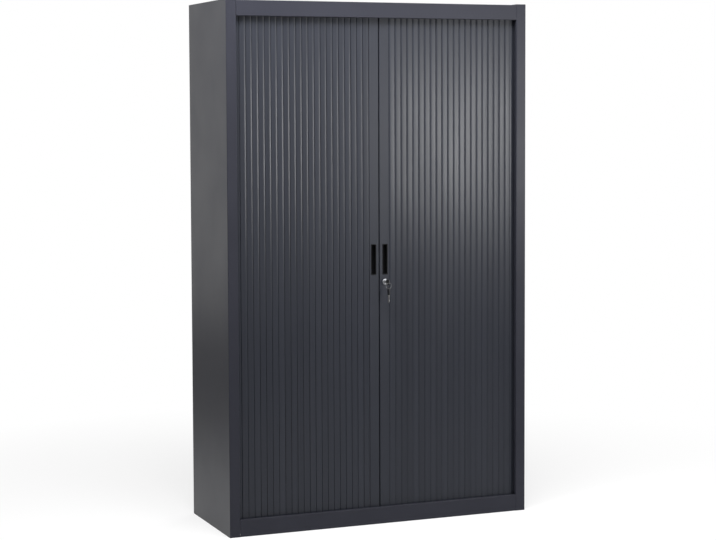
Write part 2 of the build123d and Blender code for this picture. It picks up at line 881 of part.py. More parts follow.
def lock_housing():
    """The lock's barrel with its round bezel on the rail's face."""
    bezel = rod_y(lock_x, lock_z, bezel_radius, face_y - bezel_proud, face_y)
    bezel = chamfer(bezel.edges().sort_by(Axis.Y)[0], bezel_chamfer)
    barrel = rod_y(lock_x, lock_z, barrel_radius, face_y, barrel_back_y)
    bore = rod_y(lock_x, lock_z, plug_radius + running_fit, front, barrel_back_y + 1)
    return bezel + barrel - bore


def lock_nut():
    """The hexagon nut that clamps the housing to the rail from inside."""
    y0 = face_y + rail_wall
    hexagon = RegularPolygon(nut_across / 2, 6, major_radius=False, rotation=nut_turn)
    hexagon -= Circle(barrel_radius + running_fit)
    nut = Rot(90, 0, 0) * extrude(hexagon, nut_thickness)
    return Pos(lock_x, y0 + nut_thickness, lock_z) * nut


def lock_plug():
    """The turning core with its keyway and the square tail that drives the hook."""
    core = rod_y(lock_x, lock_z, plug_radius, plug_face_y, barrel_back_y)
    tail_end = hook_back_y
    half = tail_square / 2
    tail = block(lock_x - half, lock_x + half, barrel_back_y, tail_end, lock_z - half, lock_z + half)
    way_x = key_thickness / 2 + keyway_play
    way_z = key_height / 2 + keyway_play
    way_end = key_head_y + key_length + keyway_play
    keyway = block(-way_x, way_x, plug_face_y - 1, way_end, -way_z, way_z)
    keyway = Pos(lock_x, 0, lock_z) * keyway
    return core + tail - keyway


def lock_hook():
    """The hooked cam, hanging straight down when the lock is open."""
    arm = Pos(0, -hook_reach / 2) * Rectangle(2 * hook_half_width, hook_reach)
    hub = Circle(hook_hub_radius)
    sector = Circle(hook_reach) - Circle(hook_reach - hook_tip)
    reach = 2 * hook_reach
    lead = math.radians(hook_tip_angle)
    lead_point = (-reach * math.sin(lead), -reach * math.cos(lead))
    wedge = make_face(Polyline((0, 0), (0, -reach), lead_point, close=True).edges())
    play = running_fit
    bore = Rectangle(tail_square + 2 * play, tail_square + 2 * play)
    outline = (arm & Circle(hook_reach)) + hub + (sector & wedge) - bore
    plate = Rot(90, 0, 0) * extrude(outline, hook_thickness)
    return Pos(lock_x, hook_back_y, lock_z) * plate


def hook_screw():
    """The screw that holds the hook on the plug's tail."""
    head = rod_y(lock_x, lock_z, screw_head_radius, hook_back_y, hook_back_y + screw_head)
    x0 = lock_x - screw_head_radius
    x1 = lock_x + screw_head_radius
    y0 = hook_back_y + screw_head / 2
    y1 = hook_back_y + 2 * screw_head
    slot = block(x0, x1, y0, y1, lock_z - screw_slot / 2, lock_z + screw_slot / 2)
    return head - slot


# --------------------------------------------------------------------------- keys
def key_blade():
    """A key's flat blade along Y, with its root hidden in the head; the head's hole is the origin."""
    root_y = key_head_length - key_hole_from_end - key_root
    tip_y = root_y + key_root + key_length
    half = key_thickness / 2
    blade = block(-half, half, root_y, tip_y, -key_height / 2, key_height / 2)
    blade = chamfer(blade.edges().filter_by(Axis.X).group_by(Axis.Y)[-1], key_height / 4)
    cuts = []
    for i, bite in enumerate(key_bites):
        y = tip_y - first_bite - bite_pitch * i
        y0 = y - bite_width / 2
        y1 = y + bite_width / 2
        cuts.append(block(-key_thickness, key_thickness, y0, y1, key_height / 2 - bite, key_height))
    return blade - cuts


def key_head():
    """A key's moulded head, its ring hole opening out on both faces."""
    near_y = -key_hole_from_end
    far_y = near_y + key_head_length
    outline = RectangleRounded(key_head_length, key_head_width, key_head_corner)
    outline = Pos((near_y + far_y) / 2, 0) * outline
    body = extrude(outline, key_head_thickness / 2, both=True)
    levels = body.edges().group_by(Axis.Z)
    body = fillet(levels[0] + levels[-1], key_head_edge)
    half = key_head_thickness / 2
    seat = (Align.CENTER, Align.CENTER, Align.MIN)
    flare = Cone(key_hole_radius, key_hole_radius + key_hole_flare, half, align=seat)
    hole = Cylinder(key_hole_radius, key_head_thickness) + flare + Rot(180, 0, 0) * flare
    body -= hole
    upright = Rot(0, 90, 0) * (Rot(0, 0, 90) * body)
    play = keyway_play / 2
    x = key_thickness / 2 + play
    z = key_height / 2 + play
    return upright - block(-x, x, far_y - key_root - play, far_y + 1, -z, z)


def key_ring():
    """The split ring, closed for strength, that joins the two keys."""
    wire = Torus(ring_radius, ring_wire)
    return Pos(lock_x, key_hole_y, ring_centre_z) * (Rot(90, 0, 0) * wire)


def place_key(shape):
    """Put a key in the lock."""
    return Pos(lock_x, key_hole_y, lock_z) * shape


def place_spare(shape):
    """Hang a key from the ring, blade down."""
    return Pos(lock_x, key_hole_y, spare_hole_z) * (Rot(-90, 0, 0) * shape)


# ------------------------------------------------------------------ levelling feet
def foot_places():
    """The four feet in plan."""
    x = half_width - foot_inset_x
    y_front = front + foot_inset_front
    y_back = back - foot_inset_back
    return [(-x, y_front), (x, y_front), (-x, y_back), (x, y_back)]


def foot_pad(x, y):
    """The moulded pad that meets the floor, with a blind socket for its spindle."""
    pad = rod_z(x, y, pad_radius, 0, pad_thickness)
    pad = chamfer(pad.edges().group_by(Axis.Z)[-1], pad_chamfer)
    boss = rod_z(x, y, pad_boss_radius, 0, pad_boss)
    socket = rod_z(x, y, spindle_radius + running_fit, pad_thickness, pad_boss + 1)
    return pad + boss - socket


def foot_spindle(x, y):
    """The screwed spindle, with a hexagon socket in its top end."""
    spindle = rod_z(x, y, spindle_radius, spindle_bottom, spindle_top)
    hexagon = RegularPolygon(spindle_hex / 2, 6, major_radius=False)
    socket = Pos(x, y, spindle_top - spindle_hex_depth) * extrude(hexagon, 2 * spindle_hex_depth)
    return spindle - socket


def leveller_brackets():
    """Bridge brackets under the base pan, one over each foot."""
    half = bracket_width / 2
    top = pan_top - sheet
    for x, y in foot_places():
        bridge = block(x - half, x + half, y - half, y + half, bracket_z, top)
        inner = half - bracket_thickness
        under_z = bracket_z + bracket_thickness
        under = block(x - inner, x + inner, y - half - 1, y + half + 1, under_z, top + 1)
        hole = rod_z(x, y, spindle_radius + bracket_hole_play, 0, top)
        yield bridge - under - hole


def leveller_nuts():
    """Hexagon nuts welded on the brackets."""
    z0 = bracket_z + bracket_thickness
    for x, y in foot_places():
        hexagon = RegularPolygon(foot_nut_across / 2, 6, major_radius=False)
        hexagon = hexagon - Circle(spindle_radius + running_fit)
        yield Pos(x, y, z0) * extrude(hexagon, foot_nut_height)


# ------------------------------------------------------------------------- output
write_pair("side_panel", side_panel())
write("top_panel", top_panel())
write("front_plinth", front_plinth())
write("base_pan", base_pan())
write("head_pan", head_pan())
write("back_panel", back_panel())
write("back_rivets", *back_rivets())

write("floor_panel", floor_panel())
write("ceiling_panel", inner_tray(ceiling_bottom, head_bottom))
write("access_caps", *access_caps())
write_pair("side_liner", side_liner())
write("inner_back", inner_back())
for number, slot_z in enumerate(shelf_slot_heights(), start=1):
    write(f"shelf_{number}", shelf(slot_z))
write("shelf_clips", *shelf_clips())

write_pair("lower_track", track(track_bottom_z, track_bottom_z + track_height))
write_pair("upper_track", track(track_top_z, track_top_z - track_height))
write("track_stops", *track_stops())

write_pair("curtain", *curtain())
write("leading_rail_right", leading_rail_right())
write("leading_rail_left", leading_rail_left())
write_pair("rail_shoes", *rail_shoes())
write("handle_pull_right", handle_pull())
left_pull_shift = -2 * (rail_inner_x + pull_from_edge) - pull_width
write("handle_pull_left", Pos(left_pull_shift, 0, 0) * handle_pull())

write("striker_plate", striker_plate())
write("striker_rivets", *striker_rivets())
write("lock_housing", lock_housing())
write("lock_nut", lock_nut())
write("lock_plug", lock_plug())
write("lock_hook", lock_hook())
write("hook_screw", hook_screw())
write("key_blade", place_key(key_blade()))
write("key_head", place_key(key_head()))
write("key_ring", key_ring())
write("spare_key_blade", place_spare(key_blade()))
write("spare_key_head", place_spare(key_head()))

for name, (x, y) in zip(foot_names, foot_places()):
    write(f"foot_pad_{name}", foot_pad(x, y))
    write(f"foot_spindle_{name}", foot_spindle(x, y))
write("leveller_brackets", *leveller_brackets())
write("leveller_nuts", *leveller_nuts())

print("slats on each side:", slat_count)
print("track behind the rear corner:", round(stub_length, 1))
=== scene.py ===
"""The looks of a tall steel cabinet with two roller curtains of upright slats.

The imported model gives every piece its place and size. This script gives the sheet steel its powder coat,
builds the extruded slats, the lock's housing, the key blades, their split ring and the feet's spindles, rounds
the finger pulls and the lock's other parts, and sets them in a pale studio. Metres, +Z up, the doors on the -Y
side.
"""

from __future__ import annotations

import logging
import math
from dataclasses import dataclass, field
from enum import Enum
from typing import Iterable, Sequence
import bmesh
import bpy
from mathutils import Matrix, Vector


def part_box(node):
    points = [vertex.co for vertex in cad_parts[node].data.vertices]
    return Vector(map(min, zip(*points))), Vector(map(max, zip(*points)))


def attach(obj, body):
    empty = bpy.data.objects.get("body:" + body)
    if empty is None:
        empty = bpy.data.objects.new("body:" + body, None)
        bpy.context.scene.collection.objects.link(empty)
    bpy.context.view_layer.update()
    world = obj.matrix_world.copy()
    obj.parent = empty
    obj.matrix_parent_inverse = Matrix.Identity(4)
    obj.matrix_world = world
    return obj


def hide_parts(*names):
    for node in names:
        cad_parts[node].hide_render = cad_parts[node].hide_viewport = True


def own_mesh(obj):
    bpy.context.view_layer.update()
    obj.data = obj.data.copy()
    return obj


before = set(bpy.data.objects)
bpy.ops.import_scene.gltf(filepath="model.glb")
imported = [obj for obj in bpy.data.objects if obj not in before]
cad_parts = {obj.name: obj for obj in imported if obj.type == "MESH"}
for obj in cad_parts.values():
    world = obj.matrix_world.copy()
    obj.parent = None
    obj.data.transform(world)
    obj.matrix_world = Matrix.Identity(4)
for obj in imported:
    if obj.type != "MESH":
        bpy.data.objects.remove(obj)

LOG = logging.getLogger("cabinet")
MM = 0.001
WELD = 1e-7  # corners of a new mesh nearer than this are one
NODE_WELD = 2e-6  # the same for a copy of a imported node
SEAM = 1e-6  # the same for a slat's foot and for the triangles of a packed rivet
FLAT = 0.5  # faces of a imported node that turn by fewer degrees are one
CREASE = 35.0  # edges that turn by more degrees stay sharp
COIL_CREASE = 50.0  # the same on wound wire
EASED = 30.0  # edges that turn by more degrees are rounded
AXIS = 0.2 * MM  # how near its axis a turned piece closes
TONE = "slat_tone"  # the attribute that holds each slat's own shade
WHITE = (1.0, 1.0, 1.0, 1.0)

Colour = tuple[float, float, float]
Point = tuple[float, float, float]
Outline = list[tuple[float, float]]
Mesh = bpy.types.Mesh
Node = bpy.types.Node
Piece = bpy.types.Object
Socket = bpy.types.NodeSocket


class Side(Enum):
    """The two halves of the cabinet, with the sign of X on each."""

    LEFT = -1
    RIGHT = 1

    @property
    def word(self) -> str:
        """The side's word in the names of nodes and bodies."""
        return self.name.lower()

    @property
    def door(self) -> str:
        """The body of this side's door."""
        return f"{self.word}_door"


class Slot(Enum):
    """The record's material slots."""

    CARCASS = "carcass_paint"
    RAIL = "rail_paint"
    SLAT = "slat_plastic"
    TRACK = "track_plastic"
    BLACK = "black_plastic"
    ZINC = "zinc_steel"
    CHROME = "lock_chrome"
    KEY = "key_steel"
    KEY_HEAD = "key_plastic"
    RUBBER = "stop_rubber"
    FOOT = "foot_plastic"


# ------------------------------------------------------------------------------ nodes
class Wiring:
    """Adds nodes to one node tree and joins them."""

    def __init__(self, tree: bpy.types.NodeTree) -> None:
        """Take a tree."""
        self.tree = tree

    def add(self, kind: str, settings: dict | None = None, **inputs: object) -> Node:
        """Add one node.

        Args:
            kind: The node's type name.
            settings: Its properties.
            inputs: Values or sockets for its inputs, by name with underscores for spaces.

        Returns:
            The new node.
        """
        node = self.tree.nodes.new(kind)
        for name, value in (settings or {}).items():
            setattr(node, name, value)
        for name, value in inputs.items():
            self.feed(node.inputs[name.replace("_", " ")], value)
        return node

    def out(self, kind: str, settings: dict | None = None, **inputs: object) -> Socket:
        """Add one node, as add does, and take its first output."""
        return self.add(kind, settings, **inputs).outputs[0]

    def feed(self, socket: Socket, value: object) -> None:
        """Give a socket what it takes.

        Args:
            socket: A node's input.
            value: A number, colour or name, or the output to link it to.
        """
        if isinstance(value, Socket):
            self.tree.links.new(value, socket)
        else:
            socket.default_value = value

    def math(self, operation: str, *values: object) -> Socket:
        """Work out one sum.

        Args:
            operation: The sum's name.
            values: Its numbers or sockets, in order.

        Returns:
            The result.
        """
        node = self.add("ShaderNodeMath", {"operation": operation})
        for socket, value in zip(node.inputs, values):
            self.feed(socket, value)
        return node.outputs[0]


class Board(Wiring):
    """Wires the nodes of a material or a world."""

    GRAIN = 0.55
    MIDDLE = (0.3, 0.7)

    def __init__(self, tree: bpy.types.NodeTree) -> None:
        """Clear a tree and take it."""
        super().__init__(tree)
        tree.nodes.clear()

    def place(self, scale: Point = (1.0, 1.0, 1.0)) -> Socket:
        """Object coordinates, stretched by scale."""
        coordinates = self.add("ShaderNodeTexCoord")
        return self.out("ShaderNodeMapping", Vector=coordinates.outputs["Object"], Scale=scale)

    def noise(self, where: Socket, scale: float, detail: float = 3.0) -> Socket:
        """A noise's value, about 0.5 on average, with scale in cells per metre."""
        return self.out("ShaderNodeTexNoise", Vector=where, Scale=scale, Detail=detail, Roughness=self.GRAIN)

    def spread(self, value: Socket, low: float = 0.0, high: float = 1.0) -> Socket:
        """A noise's middle part stretched to run from low to high."""
        least, most = self.MIDDLE
        return self.out("ShaderNodeMapRange", Value=value, From_Min=least, From_Max=most, To_Min=low, To_Max=high)

    def shades(self, share: Socket, dark: Colour, light: Colour) -> Socket:
        """Mix two shades.

        Args:
            share: 0 where the dark one shows, 1 where the light one does.
            dark: The darker colour, linear.
            light: The lighter colour, linear.

        Returns:
            The mixed colour.
        """
        node = self.add("ShaderNodeMix", {"data_type": "RGBA"}, Factor=share)
        first, second, mixed = node.inputs[6], node.inputs[7], node.outputs[2]
        self.feed(first, (*dark, 1.0))
        self.feed(second, (*light, 1.0))
        return mixed

    def blend(self, share: Socket, first: Socket, second: Socket) -> Socket:
        """Fade one shader into another.

        Args:
            share: 0 where the first shows, 1 where the second does.
            first: A shader.
            second: Another one.

        Returns:
            The mixed shader.
        """
        node = self.add("ShaderNodeMixShader", Fac=share)
        self.feed(node.inputs[1], first)
        self.feed(node.inputs[2], second)
        return node.outputs[0]

    def relief(self, height: Socket, depth: float, under: Socket | None = None) -> Socket:
        """Bump the surface.

        Args:
            height: The pattern, from 0 to 1.
            depth: Its depth in metres.
            under: Another bump that this one lies on.

        Returns:
            The bumped normal.
        """
        node = self.add("ShaderNodeBump", Height=height, Distance=depth, Strength=1.0)
        if under is not None:
            self.feed(node.inputs["Normal"], under)
        return node.outputs["Normal"]

    def watched(self) -> Socket:
        """Tell the rays that look from those that light.

        Returns:
            1 on the rays of the camera, of a reflection and through glass, and 0 on the others.
        """
        rays = self.add("ShaderNodeLightPath").outputs
        seen = self.math("MAXIMUM", rays["Is Camera Ray"], rays["Is Glossy Ray"])
        return self.math("MAXIMUM", seen, rays["Is Transmission Ray"])


# --------------------------------------------------------------------------- finishes
@dataclass(frozen=True)
class Finish:
    """What every finish has: a name, a colour and a gloss.

    Attributes:
        name: The material's name.
        colour: Its linear base colour.
        roughness: Its mean roughness.
        shades: Its darkest and lightest shade, as shares of the colour.
        play: How far the roughness falls below its mean and rises above it.
    """

    name: str
    colour: Colour
    roughness: float
    shades: tuple[float, float] = (1.0, 1.0)
    play: tuple[float, float] = (0.0, 0.0)

    def material(self) -> bpy.types.Material:
        """Make the finish's material, once.

        Returns:
            The material.
        """
        made = bpy.data.materials.get(self.name)
        if made is None:
            made = bpy.data.materials.new(self.name)
            made.use_nodes = True
            board = Board(made.node_tree)
            shader = board.out("ShaderNodeBsdfPrincipled", **self.coat(board))
            board.add("ShaderNodeOutputMaterial", Surface=shader)
        return made

    def coat(self, board: Board) -> dict[str, object]:
        """Wire the nodes that make up the finish, each kind in its own way.

        Args:
            board: The material's nodes.

        Returns:
            What feeds the shader, by input.
        """
        raise NotImplementedError

    def tinted(self, board: Board, share: Socket) -> Socket:
        """The colour, between its darkest and its lightest shade."""
        dark, light = (tuple(channel * level for channel in self.colour) for level in self.shades)
        return board.shades(share, dark, light)

    def gloss(self, board: Board, noise: Socket) -> Socket:
        """The roughness, which follows a noise round its mean."""
        fall, rise = self.play
        return board.spread(noise, self.roughness - fall, self.roughness + rise)


@dataclass(frozen=True)
class PowderCoat(Finish):
    """Textured powder coat on sheet steel.

    Attributes:
        peel: Cells per metre of the orange peel.
        peel_depth: Its depth.
        speckle: The peel's share in the shade, the rest being the clouds'.
        cloud: Clouds in the gloss per metre.
        wave: The sheet's slow waves per metre.
        wave_depth: Their depth.
        specular: How much it mirrors, 0.5 being plain plastic.
    """

    shades: tuple[float, float] = (0.88, 1.14)
    play: tuple[float, float] = (0.03, 0.04)
    peel: float = 900.0
    peel_depth: float = 0.00002
    speckle: float = 0.6
    cloud: float = 5.0
    wave: float = 2.2
    wave_depth: float = 0.0004
    specular: float = 0.145

    def coat(self, board: Board) -> dict[str, object]:
        """Fine speckle in the colour, hand-high clouds in the gloss, orange peel over slow waves.

        Args:
            board: The material's nodes.

        Returns:
            What feeds the shader, by input.
        """
        where = board.place()
        peel = board.noise(where, self.peel, 2.0)
        clouds = board.noise(where, self.cloud, 4.0)
        cloud_part = board.math("MULTIPLY", clouds, 1 - self.speckle)
        tone = board.math("MULTIPLY_ADD", peel, self.speckle, cloud_part)
        waves = board.relief(board.noise(where, self.wave, 1.0), self.wave_depth)
        return {
            "Base_Color": self.tinted(board, board.spread(tone)),
            "Roughness": self.gloss(board, clouds),
            "Normal": board.relief(peel, self.peel_depth, waves),
            "Specular_IOR_Level": self.specular,
        }


@dataclass(frozen=True)
class ExtrudedPlastic(Finish):
    """Slat plastic with the fine lines of the die along Z.

    Attributes:
        lines: Die lines per metre across the slat.
        line_run: Their number along it, as a share of those across.
        line_depth: Their depth.
        cloud: Clouds in the gloss per metre across the slat.
        cloud_run: Their number along it, as a share of those across.
        own: The share of each slat's own tone in the shade, the rest being the lines'.
        specular: How much it mirrors, 0.5 being plain plastic.
    """

    shades: tuple[float, float] = (0.9, 1.12)
    play: tuple[float, float] = (0.03, 0.04)
    lines: float = 900.0
    line_run: float = 0.0005
    line_depth: float = 0.000004
    cloud: float = 7.0
    cloud_run: float = 0.25
    own: float = 0.3
    specular: float = 0.145

    def coat(self, board: Board) -> dict[str, object]:
        """Die lines, slow clouds along the length, and a shade of its own for each slat.

        Args:
            board: The material's nodes.

        Returns:
            What feeds the shader, by input.
        """
        lines = board.noise(board.place((1.0, 1.0, self.line_run)), self.lines, 2.0)
        clouds = board.noise(board.place((1.0, 1.0, self.cloud_run)), self.cloud, 3.0)
        own = board.add("ShaderNodeAttribute", {"attribute_name": TONE}).outputs["Fac"]
        line_part = board.math("MULTIPLY", lines, 1 - self.own)
        tone = board.math("MULTIPLY_ADD", own, self.own, line_part)
        return {
            "Base_Color": self.tinted(board, board.spread(tone)),
            "Roughness": self.gloss(board, clouds),
            "Normal": board.relief(lines, self.line_depth),
            "Specular_IOR_Level": self.specular,
        }


@dataclass(frozen=True)
class MouldedPlastic(Finish):
    """Injection-moulded plastic with a spark-eroded grain.

    Attributes:
        grain: Cells per metre.
        grain_depth: Depth of the grain.
        flow: Flow marks per metre in the colour and the gloss.
        specular: How much it mirrors, 0.5 being plain plastic.
    """

    shades: tuple[float, float] = (0.85, 1.2)
    play: tuple[float, float] = (0.05, 0.05)
    grain: float = 2500.0
    grain_depth: float = 0.00001
    flow: float = 60.0
    specular: float = 0.5

    def coat(self, board: Board) -> dict[str, object]:
        """Grain in the surface, flow marks in the gloss and the colour.

        Args:
            board: The material's nodes.

        Returns:
            What feeds the shader, by input.
        """
        where = board.place()
        cells = board.add("ShaderNodeTexVoronoi", {"feature": "SMOOTH_F1"}, Vector=where, Scale=self.grain)
        flow = board.noise(where, self.flow)
        return {
            "Base_Color": self.tinted(board, board.spread(flow)),
            "Roughness": self.gloss(board, flow),
            "Normal": board.relief(cells.outputs["Distance"], self.grain_depth),
            "Specular_IOR_Level": self.specular,
        }


@dataclass(frozen=True)
class PlatedMetal(Finish):
    """Bright plating over machined metal.

    Attributes:
        brush: Stretch of the brushing, larger values being finer across that axis.
        lines: Brush lines per metre.
        line_depth: Their depth.
        tarnish: Spots of tarnish per metre.
    """

    shades: tuple[float, float] = (0.82, 1.06)
    play: tuple[float, float] = (0.04, 0.08)
    brush: Point = (1.0, 1.0, 1.0)
    lines: float = 3000.0
    line_depth: float = 0.000002
    tarnish: float = 140.0

    def coat(self, board: Board) -> dict[str, object]:
        """Brush lines and a little tarnish.

        Args:
            board: The material's nodes.

        Returns:
            What feeds the shader, by input.
        """
        lines = board.noise(board.place(self.brush), self.lines, 2.0)
        tarnish = board.noise(board.place(), self.tarnish, 4.0)
        return {
            "Base_Color": self.tinted(board, board.spread(tarnish)),
            "Metallic": 1.0,
            "Roughness": self.gloss(board, tarnish),
            "Normal": board.relief(lines, self.line_depth),
        }


@dataclass(frozen=True)
class ZincPlate(Finish):
    """Galvanised or zinc-plated steel with crystals that differ in shade.

    Attributes:
        crystals: Crystals per metre.
        pits: Fine pits per metre.
        pit_depth: Their depth.
    """

    shades: tuple[float, float] = (0.75, 1.15)
    play: tuple[float, float] = (0.06, 0.06)
    crystals: float = 260.0
    pits: float = 1800.0
    pit_depth: float = 0.000006

    def coat(self, board: Board) -> dict[str, object]:
        """Crystals in the colour and the gloss, fine pitting in the surface.

        Args:
            board: The material's nodes.

        Returns:
            What feeds the shader, by input.
        """
        where = board.place()
        cells = board.add("ShaderNodeTexVoronoi", Vector=where, Scale=self.crystals)
        shade = board.out("ShaderNodeSeparateColor", Color=cells.outputs["Color"])
        fall, rise = self.play
        return {
            "Base_Color": self.tinted(board, shade),
            "Metallic": 1.0,
            "Roughness": board.math("MULTIPLY_ADD", shade, fall + rise, self.roughness - fall),
            "Normal": board.relief(board.noise(where, self.pits), self.pit_depth),
        }


@dataclass(frozen=True)
class Rubber(Finish):
    """Dull moulded rubber with bloom.

    Attributes:
        bloom: Spots of bloom per metre.
        skin: Cells per metre of the coarse skin.
        skin_depth: Its depth.
    """

    shades: tuple[float, float] = (1.0, 1.8)
    bloom: float = 90.0
    skin: float = 1200.0
    skin_depth: float = 0.00003

    def coat(self, board: Board) -> dict[str, object]:
        """Bloom in the colour, a coarse skin in the surface.

        Args:
            board: The material's nodes.

        Returns:
            What feeds the shader, by input.
        """
        where = board.place()
        return {
            "Base_Color": self.tinted(board, board.spread(board.noise(where, self.bloom, 4.0))),
            "Roughness": self.roughness,
            "Normal": board.relief(board.noise(where, self.skin), self.skin_depth),
        }


FINISHES: dict[Slot, Finish] = {
    Slot.CARCASS: PowderCoat("anthracite_powder_coat", (0.0259, 0.0268, 0.0360), 0.32, specular=0.115),
    Slot.RAIL: PowderCoat("rail_powder_coat", (0.0258, 0.0280, 0.0362), 0.31),
    Slot.SLAT: ExtrudedPlastic("slat_extrusion", (0.0255, 0.0278, 0.0360), 0.22),
    Slot.TRACK: MouldedPlastic("track_moulding", (0.012, 0.012, 0.013), 0.45),
    # the pulls are black plastic, darkened further to paint the shade deep inside the cups
    Slot.BLACK: MouldedPlastic("pull_moulding", (0.0020, 0.0020, 0.0025), 0.5, specular=0.1),
    Slot.KEY_HEAD: MouldedPlastic("key_head_moulding", (0.008, 0.008, 0.009), 0.36, grain=1800.0),
    Slot.FOOT: MouldedPlastic("foot_moulding", (0.015, 0.015, 0.016), 0.5),
    Slot.CHROME: PlatedMetal("lock_plating", (0.30, 0.31, 0.325), 0.36),
    Slot.KEY: PlatedMetal("key_plating", (0.36, 0.355, 0.345), 0.32, brush=(1.0, 0.05, 0.05)),
    Slot.ZINC: ZincPlate("zinc_plate", (0.42, 0.43, 0.45), 0.38),
    Slot.RUBBER: Rubber("stop_rubber_black", (0.012, 0.012, 0.012), 0.75),
}


# ------------------------------------------------------------------------ mesh making
def link(name: str, mesh: Mesh) -> Piece:
    """Put a mesh in the scene.

    Args:
        name: The object's name.
        mesh: Its mesh.

    Returns:
        The object, at the origin.
    """
    piece = bpy.data.objects.new(name, mesh)
    bpy.context.scene.collection.objects.link(piece)
    return piece


def smooth(mesh: Mesh) -> None:
    """Smooth shading, broken at the sharp edges."""
    mesh.shade_smooth()
    mesh.set_sharp_from_angle(angle=math.radians(CREASE))


def mesh_of(name: str, work: bmesh.types.BMesh) -> Mesh:
    """Close a bmesh into a mesh with outward faces.

    Args:
        name: The mesh's name.
        work: The bmesh, freed here.

    Returns:
        The finished mesh.
    """
    bmesh.ops.remove_doubles(work, verts=work.verts, dist=WELD)
    bmesh.ops.recalc_face_normals(work, faces=work.faces)
    mesh = bpy.data.meshes.new(name)
    work.to_mesh(mesh)
    work.free()
    smooth(mesh)
    return mesh


def evaluated(piece: Piece) -> Mesh:
    """A piece's mesh as its modifiers leave it."""
    graph = bpy.context.evaluated_depsgraph_get()
    return bpy.data.meshes.new_from_object(piece.evaluated_get(graph), depsgraph=graph)


def ease(piece: Piece, width: float, segments: int = 2) -> None:
    """Round a piece's sharp edges, and put that and its other modifiers into its mesh.

    Args:
        piece: The piece.
        width: Width of the rounding.
        segments: Facets in each rounding.
    """
    rounding = piece.modifiers.new("ease", "BEVEL")
    rounding.width = width
    rounding.segments = segments
    rounding.limit_method = "ANGLE"
    rounding.angle_limit = math.radians(EASED)
    mesh = evaluated(piece)
    piece.modifiers.clear()
    piece.data = mesh
    mesh.name = piece.name
    smooth(mesh)


def eased_copy(node: str, name: str, width: float, segments: int = 2) -> Piece:
    """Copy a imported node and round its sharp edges.

    Args:
        node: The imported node.
        name: The new piece's name.
        width: Width of the rounding.
        segments: Facets in each rounding.

    Returns:
        The new piece, with the rounding already in its mesh.
    """
    work = bmesh.new()
    work.from_mesh(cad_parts[node].data)
    bmesh.ops.remove_doubles(work, verts=work.verts, dist=NODE_WELD)
    bmesh.ops.dissolve_limit(
        work, angle_limit=math.radians(FLAT), verts=work.verts, edges=work.edges, use_dissolve_boundaries=False
    )
    piece = link(name, mesh_of(name, work))
    ease(piece, width, segments)
    return piece


def arc(centre: tuple[float, float], radius: float, start: float, end: float, steps: int) -> Outline:
    """Points along an arc, both ends included.

    Args:
        centre: The arc's centre.
        radius: Its radius.
        start: First angle in degrees.
        end: Last angle in degrees, less than start for a clockwise arc.
        steps: Number of chords.

    Returns:
        The points in order.
    """
    points = []
    for i in range(steps + 1):
        angle = math.radians(start + (end - start) * i / steps)
        points.append((centre[0] + radius * math.cos(angle), centre[1] + radius * math.sin(angle)))
    return points


def lathe(name: str, profile: Outline, axis_point: Vector, steps: int) -> Mesh:
    """Turn a closed profile round an axis along Y.

    Args:
        name: The mesh's name.
        profile: Radius and Y, in order round the section.
        axis_point: A point on the axis; profile Y counts from it.
        steps: Facets round the axis.

    Returns:
        The turned mesh.
    """
    work = bmesh.new()
    rings = []
    for radius, along in profile:
        ring = []
        for i in range(steps):
            angle = 2 * math.pi * i / steps
            offset = Vector((radius * math.cos(angle), along, radius * math.sin(angle)))
            ring.append(work.verts.new(axis_point + offset))
        rings.append(ring)
    for near, far in zip(rings, rings[1:] + rings[:1]):
        for i in range(steps):
            j = (i + 1) % steps
            work.faces.new((near[i], near[j], far[j], far[i]))
    return mesh_of(name, work)


def prism(outline: Outline, low: float, high: float) -> bmesh.types.BMesh:
    """Make a closed solid over an outline in X and Y.

    Args:
        outline: The points in order.
        low: Z of the foot.
        high: Z of the head.

    Returns:
        The solid, still as a bmesh.
    """
    work = bmesh.new()
    bottom = [work.verts.new((x, y, low)) for x, y in outline]
    top = [work.verts.new((x, y, high)) for x, y in outline]
    work.faces.new(list(reversed(bottom)))
    work.faces.new(top)
    for i in range(len(outline)):
        j = (i + 1) % len(outline)
        work.faces.new((bottom[i], bottom[j], top[j], top[i]))
    return work


def points_mesh(name: str, points: Iterable[Point], **attributes: Sequence[float]) -> Mesh:
    """Make a mesh of loose points.

    Args:
        name: The mesh's name.
        points: The points.
        attributes: Numbers for the points, by the name of their attribute.

    Returns:
        The mesh.
    """
    mesh = bpy.data.meshes.new(name)
    mesh.from_pydata([tuple(point) for point in points], [], [])
    for label, values in attributes.items():
        mesh.attributes.new(label, "FLOAT", "POINT").data.foreach_set("value", list(values))
    return mesh


def fit_out(piece: Piece, slot: Slot, body: str, node: str) -> None:
    """Give a new piece its finish, its body and the node that it stands for.

    Args:
        piece: The new piece.
        slot: The record's slot that its finish belongs to.
        body: The body that it rides on.
        node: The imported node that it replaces.
    """
    finish = FINISHES[slot].material()
    if piece.data.materials:
        piece.data.materials[0] = finish
    else:
        piece.data.materials.append(finish)
    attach(piece, body)
    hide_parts(node)
    LOG.info("%s rides on %s", piece.name, body)


